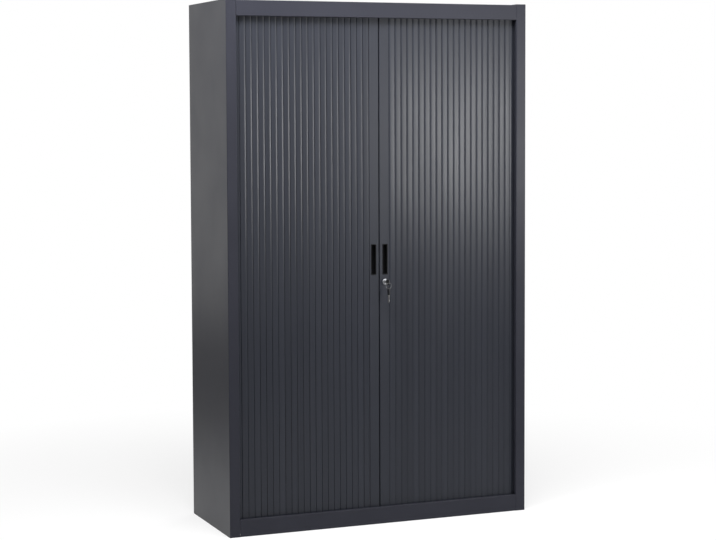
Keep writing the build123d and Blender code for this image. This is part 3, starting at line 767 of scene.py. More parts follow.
# --------------------------------------------------------------------- geometry nodes
class Recipe(Wiring):
    """A Geometry Nodes tree with named inputs, and the means to cook it into a plain mesh."""

    def __init__(self, name: str) -> None:
        """Start a tree that takes and gives geometry.

        Args:
            name: The tree's name.
        """
        super().__init__(bpy.data.node_groups.new(name, "GeometryNodeTree"))
        for way in ("OUTPUT", "INPUT"):
            self.tree.interface.new_socket("Geometry", in_out=way, socket_type="NodeSocketGeometry")
        self.entry = self.tree.nodes.new("NodeGroupInput")

    def inputs(self, **kinds: str) -> list[Socket]:
        """Add named inputs.

        Args:
            kinds: What each takes: Float, Int, Object or Material.

        Returns:
            Their sockets inside the tree, in order.
        """
        for name, kind in kinds.items():
            self.tree.interface.new_socket(name, in_out="INPUT", socket_type=f"NodeSocket{kind}")
        return [self.entry.outputs[name] for name in kinds]

    def chance(self, low: object, high: object, seed: object) -> Socket:
        """Draw a random number for each element.

        Args:
            low: The least that it can be.
            high: The most that it can be.
            seed: The seed of the draw.

        Returns:
            The number.
        """
        node = self.add("FunctionNodeRandomValue", {"data_type": "FLOAT"}, Seed=seed)
        self.feed(node.inputs[2], low)
        self.feed(node.inputs[3], high)
        return node.outputs[1]

    def along_z(self, number: object) -> Socket:
        """A vector along Z, or a turn about it."""
        return self.out("ShaderNodeCombineXYZ", Z=number)

    def joined(self, *shapes: Socket) -> Socket:
        """Join several shapes.

        Args:
            shapes: The shapes.

        Returns:
            All of them as one.
        """
        node = self.add("GeometryNodeJoinGeometry")
        for shape in shapes:
            self.feed(node.inputs[0], shape)
        return node.outputs[0]

    def coil(self, radius: object, turns: object, height: object, wire: object, steps: int, facets: int) -> Socket:
        """Wind wire in a coil that rises along Z.

        Args:
            radius: Radius of the coil.
            turns: Number of turns.
            height: Its rise from end to end.
            wire: Radius of the wire.
            steps: Points on each turn.
            facets: Facets round the wire.

        Returns:
            The coil.
        """
        path = self.out(
            "GeometryNodeCurveSpiral",
            Resolution=steps,
            Rotations=turns,
            Start_Radius=radius,
            End_Radius=radius,
            Height=height,
        )
        section = self.out("GeometryNodeCurvePrimitiveCircle", Resolution=facets, Radius=wire)
        return self.out("GeometryNodeCurveToMesh", Curve=path, Profile_Curve=section, Fill_Caps=True)

    def crisp(self, shape: Socket, degrees: float) -> Socket:
        """Smooth a shape's faces and keep its sharp edges.

        Args:
            shape: The shape.
            degrees: Edges that turn by more than this are sharp.

        Returns:
            The same shape.
        """
        smoothed = self.out("GeometryNodeSetShadeSmooth", Geometry=shape, Shade_Smooth=True)
        sharp = self.add("FunctionNodeCompare", {"data_type": "FLOAT", "operation": "GREATER_THAN"})
        self.feed(sharp.inputs[0], self.add("GeometryNodeInputMeshEdgeAngle").outputs["Unsigned Angle"])
        self.feed(sharp.inputs[1], math.radians(degrees))
        return self.out(
            "GeometryNodeSetShadeSmooth",
            {"domain": "EDGE"},
            Geometry=smoothed,
            Selection=sharp.outputs[0],
            Shade_Smooth=False,
        )

    def finish(self, shape: Socket, material: Socket) -> None:
        """End the tree in real geometry with its material.

        Args:
            shape: The shape.
            material: Its material.
        """
        real = self.out("GeometryNodeRealizeInstances", Geometry=shape)
        dressed = self.out("GeometryNodeSetMaterial", Geometry=real, Material=material)
        self.add("NodeGroupOutput", Geometry=dressed)

    def cook(self, name: str, values: dict[str, object], start: Mesh | None = None) -> Piece:
        """Run the tree on a mesh and keep the result as a plain mesh.

        Args:
            name: The new piece's name.
            values: The named inputs.
            start: The mesh that the tree takes, an empty one if there is none.

        Returns:
            The new piece, with no modifier left.
        """
        source = link(f"{name}_start", start or bpy.data.meshes.new("empty"))
        modifier = source.modifiers.new("recipe", "NODES")
        modifier.node_group = self.tree
        for item in self.tree.interface.items_tree:
            if item.item_type == "SOCKET" and item.in_out == "INPUT" and item.name in values:
                modifier[item.identifier] = values[item.name]
        cooked = evaluated(source)
        cooked.name = name
        bpy.data.objects.remove(source)
        return link(name, cooked)


# --------------------------------------------------------------------------- curtains
@dataclass
class Slat:
    """The section of one extruded slat, from its hinge bead to its hinge socket.

    Attributes:
        pitch: Hinge to hinge.
        plate: Thickness of the face plate.
        edge: Rounding of the face's trailing edge.
        slit: Trailing edge to the next slat's lip.
        overhang: Lip past the hinge that it covers.
        lip: Width of the lip.
        slant: How far the lip falls back across its width.
        step: How far the face stands out from the lip's root.
        bevel: Width of the step.
        tip: Rounding of the lip's edge.
        lip_play: Lip to the socket behind it.
        depth: Face to the line of the hinges.
        bead: Radius of the leading bead.
        bore: Radius of the trailing socket's bore.
        socket: Outer radius of the socket.
        web: Thickness of the web.
        web_reach: Hinge to the root of the web, along the slat.
        mouth: First and last angle of the socket's opening.
    """

    pitch: float = 24 * MM
    plate: float = 2 * MM
    edge: float = 0.7 * MM
    slit: float = 1.3 * MM
    overhang: float = 1.2 * MM
    lip: float = 5.1 * MM
    slant: float = 0.65 * MM
    step: float = 0.4 * MM
    bevel: float = 0.3 * MM
    tip: float = 0.25 * MM
    lip_play: float = 0.3 * MM
    depth: float = 5 * MM
    bead: float = 1.9 * MM
    bore: float = 2.2 * MM
    socket: float = 3 * MM
    web: float = 1.2 * MM
    web_reach: float = 3.45 * MM
    mouth: tuple[float, float] = (-65.0, 25.0)

    def outline(self) -> Outline:
        """Draw the section as one closed line.

        Returns:
            The line, its bead at the origin and its socket along +X.
        """
        end = self.pitch - self.overhang - self.slit
        reach = self.pitch - end
        meets = math.degrees(math.atan2(-math.sqrt(self.socket**2 - reach**2), -reach)) + 360
        mouth_low, mouth_high = self.mouth
        hinge = (self.pitch, 0.0)
        back = self.plate - self.depth
        points = self.front(end)
        points += arc(hinge, self.socket, meets, mouth_low + 360, 10)
        points += arc(hinge, self.bore, mouth_low + 360, mouth_high, 22)
        points += arc(hinge, self.socket, mouth_high, 180, 14)
        points += [(end - 2 * self.web, 0.0), (end - 2 * self.web, back)]
        return points + self.web_and_bead(back)

    def front(self, end: float) -> Outline:
        """Draw the rounded lip, the step up from it and the flat face.

        Args:
            end: X of the trailing edge.

        Returns:
            The line as far as the trailing edge.
        """
        face = -self.depth
        lip_back = -self.socket - self.lip_play
        root = (self.lip - self.overhang, face + self.step)
        edge_y = root[1] + self.slant
        lean = math.degrees(math.atan2(self.slant, self.lip))
        tip_x = self.tip - self.overhang
        points = arc((tip_x, lip_back - self.tip), self.tip, 90, 180, 3)
        points += arc((tip_x, edge_y + self.tip), self.tip, 190, 270 - lean, 4)
        points += [root, (root[0] + self.bevel, face)]
        points += arc((end - self.edge, face + self.edge), self.edge, 270, 360, 6)
        return points

    def web_and_bead(self, back: float) -> Outline:
        """Draw the web and the bead that it carries.

        Args:
            back: Y of the plate's back.

        Returns:
            The line from the plate's back round the bead to the lip's back.
        """
        way = Vector((self.web_reach, -(self.depth - self.plate + self.web / 2))).normalized()
        across = Vector((-way.y, way.x)) * (self.web / 2)
        lip_back = -self.socket - self.lip_play
        on_back = (back - across.y) / way.y
        on_lip = (lip_back + across.y) / way.y
        on_bead = math.sqrt(self.bead**2 - (self.web / 2) ** 2)
        upper = way * on_bead + across
        lower = way * on_bead - across
        first = math.degrees(math.atan2(upper.y, upper.x))
        last = math.degrees(math.atan2(lower.y, lower.x)) + 360
        round_bead = arc((0.0, 0.0), self.bead, first, last, 18)
        return [tuple(way * on_back + across), *round_bead, tuple(way * on_lip - across)]


@dataclass
class RollerCurtain:
    """One curtain of slats hooked together, shut in front and turning into the side of the cabinet.

    Attributes:
        side: Which half it is.
        slat: Its slats' section.
        corner_radius: Radius of the hinge line round the corner.
        corner_x: Where the corner starts.
        hinge_front: Y of the hinge line across the front.
        first_hinge: X of the hinge on the leading rail.
        rail_edge: X of the leading rail's outer edge. Not used.
        count: How many slats.
        looseness: How far a slat may tilt in its hinges, in degrees.
        travel: How far its door slides. Not used.
        seed: Seed of the tilts and the tones.
        halvings: Steps in the search for each hinge.
        crease: Edges of a slat that turn by more degrees are sharp.
    """

    side: Side
    slat: Slat = field(default_factory=Slat)
    corner_radius: float = 38 * MM
    corner_x: float = 552 * MM
    hinge_front: float = -199 * MM
    first_hinge: float = 42 * MM
    rail_edge: float = 39.5 * MM
    count: int = 24
    looseness: float = 0.5
    travel: float = 0.5
    seed: int = 5
    halvings: int = 50
    crease: float = 40.0

    def along(self, distance: float) -> tuple[float, float]:
        """Find a point on the right-hand hinge line.

        Args:
            distance: How far along the line it lies from the middle of the cabinet.

        Returns:
            Its X and Y.
        """
        if distance <= self.corner_x:
            return distance, self.hinge_front
        turned = (distance - self.corner_x) / self.corner_radius
        centre_y = self.hinge_front + self.corner_radius
        if turned <= math.pi / 2:
            x = self.corner_x + self.corner_radius * math.sin(turned)
            return x, centre_y - self.corner_radius * math.cos(turned)
        rest = distance - self.corner_x - self.corner_radius * math.pi / 2
        return self.corner_x + self.corner_radius, centre_y + rest

    def hinges(self) -> Outline:
        """Step along the hinge line.

        Returns:
            The hinges, each one pitch in a straight line from the last.
        """
        distance = self.first_hinge
        points = [self.along(distance)]
        while len(points) <= self.count:
            near, far = distance, distance + 2 * self.slat.pitch
            for _ in range(self.halvings):
                middle = (near + far) / 2
                if math.dist(self.along(middle), points[-1]) < self.slat.pitch:
                    near = middle
                else:
                    far = middle
            distance = far
            points.append(self.along(distance))
        return points

    def section(self) -> Piece:
        """Make a face of the slat's section.

        Returns:
            The flat face, mirrored on the left.
        """
        sign = self.side.value
        outline = [(sign * x, y, 0.0) for x, y in self.slat.outline()]
        mesh = bpy.data.meshes.new("slat_section")
        mesh.from_pydata(outline[::sign], [], [list(range(len(outline)))])
        return link("slat_section", mesh)

    def recipe(self) -> Recipe:
        """Write the tree that stands one slat on each hinge point.

        Returns:
            The tree.
        """
        recipe = Recipe("slats_on_hinges")
        outline, foot, length, loose, seed, plastic = recipe.inputs(
            Outline="Object", Foot="Float", Length="Float", Looseness="Float", Seed="Int", Plastic="Material"
        )
        section = recipe.add("GeometryNodeObjectInfo", Object=outline).outputs["Geometry"]
        extruded = recipe.out(
            "GeometryNodeExtrudeMesh",
            {"mode": "FACES"},
            Mesh=section,
            Offset=recipe.along_z(length),
            Individual=False,
        )
        both = recipe.joined(extruded, recipe.out("GeometryNodeFlipFaces", Mesh=section))
        closed = recipe.out("GeometryNodeMergeByDistance", Geometry=both, Distance=SEAM)
        raised = recipe.out("GeometryNodeTransform", Geometry=closed, Translation=recipe.along_z(foot))
        turn = recipe.add("GeometryNodeInputNamedAttribute", {"data_type": "FLOAT"}, Name="turn")
        slack = recipe.chance(recipe.math("MULTIPLY", loose, -1.0), loose, seed)
        placed = recipe.out(
            "GeometryNodeInstanceOnPoints",
            Points=recipe.entry.outputs["Geometry"],
            Instance=recipe.crisp(raised, self.crease),
            Rotation=recipe.along_z(recipe.math("ADD", turn.outputs["Attribute"], slack)),
        )
        toned = recipe.out(
            "GeometryNodeStoreNamedAttribute",
            {"data_type": "FLOAT", "domain": "INSTANCE"},
            Geometry=placed,
            Name=TONE,
            Value=recipe.chance(0.0, 1.0, recipe.math("ADD", seed, 1.0)),
        )
        recipe.finish(toned, plastic)
        return recipe

    def build(self) -> None:
        """Make the curtain and hang it on its door."""
        node = f"curtain_{self.side.word}"
        low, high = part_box(node)
        sign = self.side.value
        hinges = self.hinges()
        turns = [sign * math.atan2(b[1] - a[1], b[0] - a[0]) for a, b in zip(hinges, hinges[1:])]
        start = points_mesh("hinge_points", [(sign * x, y, 0.0) for x, y in hinges[:-1]], turn=turns)
        profile = self.section()
        values = {
            "Outline": profile,
            "Foot": low.z,
            "Length": high.z - low.z,
            "Looseness": math.radians(self.looseness),
            "Seed": self.seed + sign,
            "Plastic": FINISHES[Slot.SLAT].material(),
        }
        curtain = self.recipe().cook(f"slats_{self.side.word}", values, start)
        bpy.data.objects.remove(profile)
        fit_out(curtain, Slot.SLAT, self.side.door, node)
        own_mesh(curtain)


# ------------------------------------------------------------------------ steel shell
class SteelShell:
    """The folded and coated sheets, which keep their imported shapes."""

    def build(self) -> None:
        """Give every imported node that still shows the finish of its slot."""
        finishes = {slot.value: finish for slot, finish in FINISHES.items()}
        for name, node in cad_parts.items():
            if node.hide_render:
                continue
            for place in node.material_slots:
                finish = finishes.get(place.material.name.split(".")[0])
                if finish is None:
                    LOG.warning("%s keeps its packed material", name)
                    continue
                place.material = finish.material()
            LOG.info("%s keeps its packed shape", name)


@dataclass
class BackRivets:
    """Domed blind rivets along the edges of the back panel.

    Attributes:
        head_radius: Radius of a head.
        head_height: Its height.
        shank_radius: Radius of the shank.
        grip: Length of the shank.
        dome: Angles at which the dome's points lie.
        dimple_radius: Radius of the mandrel's hole in the head.
        dimple_taper: Radius of the hole's floor, as a share of that.
        dimple_floor: Height of the floor at its edge and its middle, as shares of the head's.
        facets: Facets round a rivet.
    """

    head_radius: float = 3.6 * MM
    head_height: float = 1.0 * MM
    shank_radius: float = 1.6 * MM
    grip: float = 2.0 * MM
    dome: tuple[float, ...] = (18, 36, 54)
    dimple_radius: float = 1.0 * MM
    dimple_taper: float = 0.8
    dimple_floor: tuple[float, float] = (0.55, 0.5)
    facets: int = 20

    def profile(self) -> Outline:
        """Draw half of a rivet's section.

        Returns:
            Radius and Y, the head towards +Y.
        """
        r, h = self.head_radius, self.head_height
        edge, middle = self.dimple_floor
        dome = [(r * math.cos(a), h * math.sin(a)) for a in map(math.radians, self.dome)]
        hole = [(self.dimple_radius, h), (self.dimple_radius * self.dimple_taper, h * edge), (AXIS, h * middle)]
        foot = [(AXIS, -self.grip), (self.shank_radius, -self.grip), (self.shank_radius, 0.0), (r, 0.0)]
        return dome + hole + foot

    def centres(self) -> list[Point]:
        """Find the rivets' seats.

        Returns:
            Their middles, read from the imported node's loose pieces.
        """
        work = bmesh.new()
        work.from_mesh(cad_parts["back_rivets"].data)
        bmesh.ops.remove_doubles(work, verts=work.verts, dist=SEAM)
        seen: set[bmesh.types.BMVert] = set()
        places = []
        for vert in work.verts:
            stack, group = [vert], []
            while stack:
                here = stack.pop()
                if here not in seen:
                    seen.add(here)
                    group.append(here.co)
                    stack += [edge.other_vert(here) for edge in here.link_edges]
            if group:
                xs, ys, zs = zip(*group)
                places.append(((min(xs) + max(xs)) / 2, max(ys) - self.head_height, (min(zs) + max(zs)) / 2))
        work.free()
        return places

    def build(self) -> None:
        """Make the rivets."""
        recipe = Recipe("rivets_on_points")
        rivet, steel = recipe.inputs(Rivet="Object", Steel="Material")
        shape = recipe.add("GeometryNodeObjectInfo", Object=rivet).outputs["Geometry"]
        seats = recipe.entry.outputs["Geometry"]
        recipe.finish(recipe.out("GeometryNodeInstanceOnPoints", Points=seats, Instance=shape), steel)
        pattern = link("rivet_pattern", lathe("rivet_pattern", self.profile(), Vector(), self.facets))
        values = {"Rivet": pattern, "Steel": FINISHES[Slot.ZINC].material()}
        rivets = recipe.cook("rivets_back", values, points_mesh("rivet_places", self.centres()))
        bpy.data.objects.remove(pattern)
        fit_out(rivets, Slot.ZINC, "carcass", "back_rivets")


# ------------------------------------------------------------------------ small parts
@dataclass
class FingerPulls:
    """The moulded cups that are let into the leading rails.

    Attributes:
        easing: Width of their eased edges.
        segments: Facets in each eased edge.
    """

    easing: float = 0.35 * MM
    segments: int = 3

    def build(self) -> None:
        """Make both pulls."""
        for side in Side:
            node = f"handle_pull_{side.word}"
            piece = eased_copy(node, f"finger_cup_{side.word}", self.easing, self.segments)
            fit_out(piece, Slot.BLACK, side.door, node)


@dataclass
class CamLock:
    """The lock's turned housing with its polished rosette, and the parts behind it.

    Attributes:
        bezel: Radius of the rosette.
        proud: How far it stands out of the rail.
        rim: Height of its upright edge.
        crown: Width of its rounded shoulder.
        bore: Radius of the plug's bore.
        lip: Width of the sunk ring round the bore.
        slope: Width of the slope from the rosette's face down to it.
        sink: Depth of that ring.
        barrel: Radius of the barrel.
        barrel_length: Its length.
        thread_pitch: Lead of its thread.
        thread_depth: Depth of the thread.
        thread_crest: How far a root lies from the end of its turn.
        thread_end: Plain length behind the rosette.
        undercut: Width of the last root.
        facets: Facets round the housing.
    """

    bezel: float = 11.5 * MM
    proud: float = 3.0 * MM
    rim: float = 0.5 * MM
    crown: float = 2.6 * MM
    bore: float = 6.06 * MM
    lip: float = 0.9 * MM
    slope: float = 0.4 * MM
    sink: float = 0.35 * MM
    barrel: float = 9.4 * MM
    barrel_length: float = 18 * MM
    thread_pitch: float = 1.0 * MM
    thread_depth: float = 0.35 * MM
    thread_crest: float = 0.1 * MM
    thread_end: float = 2 * MM
    undercut: float = 0.2 * MM
    facets: int = 72

    def profile(self) -> Outline:
        """Draw half of the housing's section.

        Returns:
            Radius and Y, counted from the rail's face.
        """
        inner = self.bezel - self.crown
        root = self.barrel - self.thread_depth
        ring = self.bore + self.lip
        seat = -self.proud + self.sink
        points = [(self.bezel, 0.0), (self.bezel, -self.rim)]
        for reach, rise in arc((0.0, 0.0), 1.0, 0, 90, 8)[1:]:
            points.append((inner + self.crown * reach, -self.rim - rise * (self.proud - self.rim)))
        points += [(ring + self.slope, -self.proud), (ring, seat), (self.bore, seat)]
        points += [(self.bore, self.barrel_length), (root, self.barrel_length)]
        for i in range(int((self.barrel_length - self.thread_end) / self.thread_pitch)):
            y = self.barrel_length - self.thread_pitch * i
            points += [(root, y - self.thread_crest), (self.barrel, y - self.thread_pitch / 2)]
        return points + [(root, self.undercut), (root, 0.0)]

    def build(self) -> None:
        """Make the housing, and ease the edges of the parts behind it."""
        low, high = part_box("lock_housing")
        axis = Vector(((low.x + high.x) / 2, low.y + self.proud, (low.z + high.z) / 2))
        housing = link("lock_rosette", lathe("lock_rosette", self.profile(), axis, self.facets))
        fit_out(housing, Slot.CHROME, "right_door", "lock_housing")
        for node, name, easing, slot, body in (
            ("lock_nut", "clamp_nut", 0.3 * MM, Slot.ZINC, "right_door"),
            ("lock_plug", "lock_core_face", 0.2 * MM, Slot.CHROME, "lock_core"),
            ("lock_hook", "hook_cam", 0.3 * MM, Slot.ZINC, "lock_core"),
            ("striker_plate", "keep_plate", 0.3 * MM, Slot.ZINC, "left_door"),
        ):
            fit_out(eased_copy(node, name, easing), slot, body, node)


@dataclass
class KeyBlade:
    """A key's blade with V-shaped bites and a milled groove along both faces.

    Attributes:
        node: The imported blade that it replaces.
        name: Its own name.
        body: The body that it rides on.
        tip_axis: 1 where it lies along Y, 2 where it lies along Z.
        tip_sign: The way its tip points along that axis.
        bites: Depths of the bites, from the tip.
        first_bite: Tip to the first bite.
        bite_pitch: Start of one bite to the next.
        bite_steps: Start of a bite to its floor, to the floor's end and to its far shoulder.
        shoulder: How far a far shoulder lies below the blade's edge.
        slant: Length of the tip's slant, as a share of the blade's height.
        nose: Half of the tip's flat end, as a share of half the blade's height.
        groove_cut: Width of the bars that mill the grooves, half of it in the blade.
        groove_height: Height of a groove.
        groove_shift: How far it lies off the blade's middle.
        groove_length: Its length, as a share of the blade's.
        easing: Width of the eased edges.
    """

    node: str
    name: str
    body: str
    tip_axis: int
    tip_sign: int
    bites: tuple[float, ...] = (1.2 * MM, 0.6 * MM, 1.6 * MM, 0.9 * MM)
    first_bite: float = 2.4 * MM
    bite_pitch: float = 3.0 * MM
    bite_steps: tuple[float, float, float] = (0.7 * MM, 1.5 * MM, 2.3 * MM)
    shoulder: float = 0.1 * MM
    slant: float = 0.3
    nose: float = 0.35
    groove_cut: float = 0.5 * MM
    groove_height: float = 1.3 * MM
    groove_shift: float = 0.8 * MM
    groove_length: float = 1.1
    easing: float = 0.08 * MM

    def outline(self, length: float, height: float) -> Outline:
        """Draw the blade from the side.

        Args:
            length: Root to tip.
            height: Back to edge.

        Returns:
            The line, its root at X 0 and its bites towards +Y.
        """
        top = height / 2
        points = [(0.0, -top), (length - height * self.slant, -top)]
        points += [(length, -top * self.nose), (length, top * self.nose)]
        along = length - self.first_bite
        points.append((along, top))
        down, floor, up = self.bite_steps
        for bite in self.bites:
            points += [(along - down, top - bite), (along - floor, top - bite), (along - up, top - self.shoulder)]
            along -= self.bite_pitch
        return points + [(along, top), (0.0, top)]

    def mesh(self, low: Vector, high: Vector) -> Mesh:
        """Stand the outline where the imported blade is.

        Args:
            low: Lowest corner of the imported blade.
            high: Its highest corner.

        Returns:
            The blade's mesh.
        """
        tip, edge = self.tip_axis, 3 - self.tip_axis
        half = (high.x - low.x) / 2
        near = low[tip] if self.tip_sign > 0 else high[tip]
        middle = [(a + b) / 2 for a, b in zip(low, high)]
        work = prism(self.outline(high[tip] - low[tip], high[edge] - low[edge]), -half, half)
        for vert in work.verts:
            along, across, aside = vert.co
            spot = Vector((middle[0] + aside, 0.0, 0.0))
            spot[tip] = near + self.tip_sign * along
            spot[edge] = middle[edge] + (across if tip == 1 else -across)
            vert.co = spot
        return mesh_of(self.name, work)

    def groove_bars(self, low: Vector, high: Vector) -> list[Piece]:
        """Make the bars that mill a groove into both faces.

        Args:
            low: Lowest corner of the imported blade.
            high: Its highest corner.

        Returns:
            The two bars.
        """
        tip, edge = self.tip_axis, 3 - self.tip_axis
        size = Vector((self.groove_cut, 0.0, 0.0))
        size[tip] = (high[tip] - low[tip]) * self.groove_length
        size[edge] = self.groove_height
        bars = []
        for sign, face in ((-1, low.x), (1, high.x)):
            centre = (low + high) / 2
            centre.x = face
            centre[edge] += self.groove_shift * sign
            work = bmesh.new()
            bmesh.ops.create_cube(work, size=1.0)
            bmesh.ops.scale(work, vec=size, verts=work.verts)
            bmesh.ops.translate(work, vec=centre, verts=work.verts)
            bars.append(link("groove_bar", mesh_of("groove_bar", work)))
        return bars

    def build(self) -> None:
        """Make the blade, mill its grooves and ease its edges."""
        low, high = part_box(self.node)
        piece = link(self.name, self.mesh(low, high))
        bars = self.groove_bars(low, high)
        for bar in bars:
            cut = piece.modifiers.new("groove", "BOOLEAN")
            cut.operation = "DIFFERENCE"
            cut.solver = "EXACT"
            cut.object = bar
        ease(piece, self.easing)
        for bar in bars:
            bpy.data.objects.remove(bar)
        fit_out(piece, Slot.KEY, self.body, self.node)


@dataclass
class KeyPair:
    """Two keys, one in the lock and one hanging from it, joined by a split ring.

    Attributes:
        blades: The two keys' blades.
        wire: Radius of the ring's wire.
        ring_radius: Radius of the ring.
        coils: Turns in it.
        steps: Points on each turn.
        facets: Facets round the wire.
    """

    blades: tuple[KeyBlade, ...] = (
        KeyBlade("key_blade", "key_in_lock", "lock_core", 1, 1),
        KeyBlade("spare_key_blade", "key_hanging", "spare_key", 2, -1),
    )
    wire: float = 0.35 * MM
    ring_radius: float = 11.0 * MM
    coils: float = 1.9
    steps: int = 96
    facets: int = 12

    def ring(self) -> None:
        """Wind the split ring from wire that lies on itself."""
        recipe = Recipe("split_ring")
        radius, turns, wire, steel = recipe.inputs(Radius="Float", Turns="Float", Wire="Float", Steel="Material")
        rise = recipe.math("MULTIPLY", wire, 2.0)
        coil = recipe.coil(radius, turns, rise, wire, self.steps, self.facets)
        recipe.finish(recipe.crisp(coil, COIL_CREASE), steel)
        values = {
            "Radius": self.ring_radius,
            "Turns": self.coils,
            "Wire": self.wire,
            "Steel": FINISHES[Slot.KEY].material(),
        }
        ring = recipe.cook("split_ring", values)
        low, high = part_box("key_ring")
        stand = Matrix.Rotation(math.radians(90), 4, "X") @ Matrix.Translation((0.0, 0.0, -self.wire))
        ring.data.transform(Matrix.Translation((low + high) / 2) @ stand)
        fit_out(ring, Slot.KEY, "ring", "key_ring")

    def build(self) -> None:
        """Make the keys and the ring."""
        for blade in self.blades:
            blade.build()
        self.ring()


@dataclass
class LevellingFeet:
    """The screwed spindles of the feet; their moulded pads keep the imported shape.

    Attributes:
        radius: Outer radius of the thread.
        pitch: Lead of the thread.
        depth: Depth of the thread.
        core_facets: Facets round the core.
        steps: Points on each turn of the thread.
        facets: Facets round its ridge.
    """

    radius: float = 5.0 * MM
    pitch: float = 1.5 * MM
    depth: float = 0.7 * MM
    core_facets: int = 32
    steps: int = 24
    facets: int = 6

    def recipe(self) -> Recipe:
        """Write the tree that winds a thread round a core.

        Returns:
            The tree.
        """
        recipe = Recipe("screw_thread")
        radius, depth, pitch, length, steel = recipe.inputs(
            Radius="Float", Depth="Float", Pitch="Float", Length="Float", Steel="Material"
        )
        core = recipe.out(
            "GeometryNodeMeshCylinder",
            Vertices=self.core_facets,
            Radius=recipe.math("SUBTRACT", radius, depth),
            Depth=length,
        )
        crest = recipe.math("MULTIPLY", depth, 0.5)
        wound = recipe.math("SUBTRACT", length, depth)
        turns = recipe.math("DIVIDE", wound, pitch)
        middle = recipe.math("SUBTRACT", radius, crest)
        ridge = recipe.coil(middle, turns, wound, crest, self.steps, self.facets)
        drop = recipe.along_z(recipe.math("MULTIPLY", wound, -0.5))
        lowered = recipe.out("GeometryNodeTransform", Geometry=ridge, Translation=drop)
        recipe.finish(recipe.crisp(recipe.joined(core, lowered), COIL_CREASE), steel)
        return recipe

    def build(self) -> None:
        """Make the four spindles."""
        recipe = self.recipe()
        for place in ("front_left", "front_right", "back_left", "back_right"):
            node = f"foot_spindle_{place}"
            low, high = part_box(node)
            values = {
                "Radius": self.radius,
                "Depth": self.depth,
                "Pitch": self.pitch,
                "Length": high.z - low.z,
                "Steel": FINISHES[Slot.ZINC].material(),
            }
            spindle = recipe.cook(f"spindle_{place}", values)
            spindle.data.transform(Matrix.Translation((low + high) / 2))
            fit_out(spindle, Slot.ZINC, f"{place}_spindle", node)


# ----------------------------------------------------------------------------- studio
@dataclass
class SoftBox:
    """A rectangular white lamp.

    Attributes:
        name: Its name.
        place: Where it hangs.
        aim: The point that it faces.
        size: Its width and height.
        power: Watts.
    """

    name: str
    place: Point
    aim: Point
    size: tuple[float, float]
    power: float

    def hang(self) -> None:
        """Put the lamp in the scene."""
        lamp = bpy.data.lights.new(self.name, "AREA")
        lamp.shape = "RECTANGLE"
        lamp.size, lamp.size_y = self.size
        lamp.energy = self.power
        holder = bpy.data.objects.new(self.name, lamp)
        bpy.context.scene.collection.objects.link(holder)
        way = Vector(self.aim) - Vector(self.place)
        holder.location = self.place
        holder.rotation_euler = way.to_track_quat("-Z", "Y").to_euler()


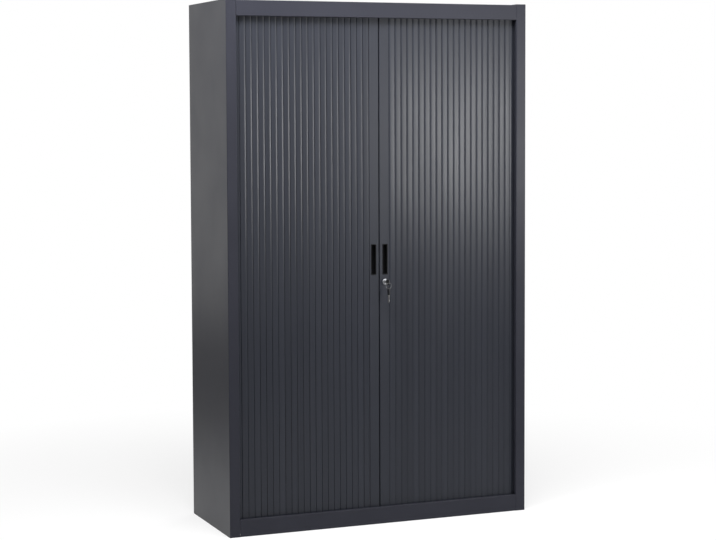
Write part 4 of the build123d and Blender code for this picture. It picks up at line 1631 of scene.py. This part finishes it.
@dataclass
class Studio:
    """A pale floor, a white world and soft lamps.

    Attributes:
        floor_radius: Radius of the floor.
        floor_facets: Facets round it.
        floor_grey: How much light the floor throws back on the cabinet.
        shadow_grey: How much of the light the camera sees on it.
        floor_glow: What it shows where no light falls.
        near_floor: How far from the middle it starts to melt into the backdrop.
        far_floor: How far from the middle it is pure white.
        world_level: How much light the world gives.
        lamps: The lamps.
    """

    floor_radius: float = 7.0
    floor_facets: int = 96
    floor_grey: float = 0.8
    shadow_grey: float = 0.3
    floor_glow: float = 0.74
    near_floor: float = 1.0
    far_floor: float = 2.6
    world_level: float = 0.08
    lamps: tuple[SoftBox, ...] = (
        SoftBox("key_right", (2.5, -3.8, 1.4), (0.2, -0.2, 1.3), (0.7, 1.2), 23.0),
        SoftBox("key_middle", (1.75, -2.8, 1.4), (0.2, -0.2, 1.3), (0.7, 0.7), 19.0),
        SoftBox("key_left", (1.6, -3.8, 1.5), (0.2, -0.2, 1.3), (0.8, 1.0), 10.0),
        SoftBox("high_middle", (-0.6, -1.2, 3.2), (-0.1, -0.2, 1.4), (1.2, 0.8), 74.0),
        SoftBox("high_right", (0.4, -1.2, 3.2), (-0.1, -0.2, 1.4), (1.6, 0.8), 17.0),
        SoftBox("high_left", (-1.4, -0.9, 2.5), (-0.1, -0.2, 1.4), (0.9, 0.6), 15.0),
        SoftBox("behind_right", (3.4, 3.4, 2.2), (0.3, 0.1, 0.9), (2.4, 2.0), 110.0),
    )

    def world(self) -> None:
        """White where the camera or a reflection looks, soft grey as light."""
        world = bpy.data.worlds.new("studio_world")
        bpy.context.scene.world = world
        world.use_nodes = True
        board = Board(world.node_tree)
        light = board.out("ShaderNodeBackground", Color=WHITE, Strength=self.world_level)
        backdrop = board.out("ShaderNodeBackground", Color=WHITE, Strength=1.0)
        board.add("ShaderNodeOutputWorld", Surface=board.blend(board.watched(), light, backdrop))

    def paper(self) -> bpy.types.Material:
        """Wire the floor's material.

        Returns:
            The material, which keeps a shadow near the cabinet and is white far from it.
        """
        material = bpy.data.materials.new("floor_paper")
        material.use_nodes = True
        board = Board(material.node_tree)
        paper = board.out("ShaderNodeBsdfDiffuse", Color=(self.floor_grey,) * 3 + (1.0,))
        shown = board.add("ShaderNodeAddShader")
        board.feed(shown.inputs[0], board.out("ShaderNodeBsdfDiffuse", Color=(self.shadow_grey,) * 3 + (1.0,)))
        board.feed(shown.inputs[1], board.out("ShaderNodeEmission", Color=WHITE, Strength=self.floor_glow))
        white = board.out("ShaderNodeEmission", Color=WHITE, Strength=1.0)
        far = board.add("ShaderNodeVectorMath", {"operation": "LENGTH"}, Vector=board.place()).outputs["Value"]
        reach = board.out("ShaderNodeMapRange", Value=far, From_Min=self.near_floor, From_Max=self.far_floor)
        camera = board.add("ShaderNodeLightPath").outputs["Is Camera Ray"]
        near = board.blend(board.watched(), paper, shown.outputs[0])
        beyond = board.blend(camera, paper, white)
        board.add("ShaderNodeOutputMaterial", Surface=board.blend(reach, near, beyond))
        return material

    def floor(self) -> None:
        """A round pale floor that melts into the backdrop and keeps the cabinet's shadow."""
        work = bmesh.new()
        bmesh.ops.create_circle(work, cap_ends=True, radius=self.floor_radius, segments=self.floor_facets)
        floor = link("studio_floor", mesh_of("studio_floor", work))
        floor.data.materials.append(self.paper())

    def build(self) -> None:
        """Set up the world, the floor and the lamps."""
        self.world()
        self.floor()
        for lamp in self.lamps:
            lamp.hang()


@dataclass
class Viewpoint:
    """The camera, ahead of the cabinet and to its left.

    Attributes:
        place: Where it stands.
        heading: Its turn from +Y towards +X, in radians.
        tilt: Its tilt above the horizon, in radians.
        roll: Its roll, in radians.
        focal: Focal length in widths of the picture.
        rise: Upward shift of the lens in widths of the picture.
        sensor: Width of the sensor in millimetres.
        far: How far it sees.
    """

    place: Point = (-2.64088, -6.47040, 1.55813)
    heading: float = 0.38723
    tilt: float = -0.06657
    roll: float = -0.0039
    focal: float = 1827.75 / 716
    rise: float = -40 / 716
    sensor: float = 36.0
    far: float = 60.0

    def build(self) -> None:
        """Make the camera the scene's own."""
        data = bpy.data.cameras.new("view")
        data.sensor_width = self.sensor
        data.lens = self.focal * self.sensor
        data.shift_y = self.rise
        data.clip_end = self.far
        camera = bpy.data.objects.new("view", data)
        bpy.context.scene.collection.objects.link(camera)
        level = Vector((math.sin(self.heading), math.cos(self.heading), 0.0))
        ahead = level * math.cos(self.tilt) + Vector((0.0, 0.0, math.sin(self.tilt)))
        right = Vector((level.y, -level.x, 0.0))
        up = right.cross(ahead)
        rolled = math.cos(self.roll) * right + math.sin(self.roll) * up
        upright = -math.sin(self.roll) * right + math.cos(self.roll) * up
        turn = Matrix((rolled, upright, -ahead)).transposed()
        camera.matrix_world = Matrix.Translation(self.place) @ turn.to_4x4()
        bpy.context.scene.camera = camera


def main() -> None:
    """Build the cabinet's looks, then the studio round them."""
    logging.basicConfig(level=logging.INFO, format="%(name)s: %(message)s")
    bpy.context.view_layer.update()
    for side in Side:
        RollerCurtain(side).build()
    for kind in (BackRivets, FingerPulls, CamLock, KeyPair, LevellingFeet, SteelShell, Studio, Viewpoint):
        kind().build()
        LOG.info("%s is in place", kind.__name__)
    bpy.context.scene.view_settings.view_transform = "Standard"


if __name__ == "__main__":
    main()
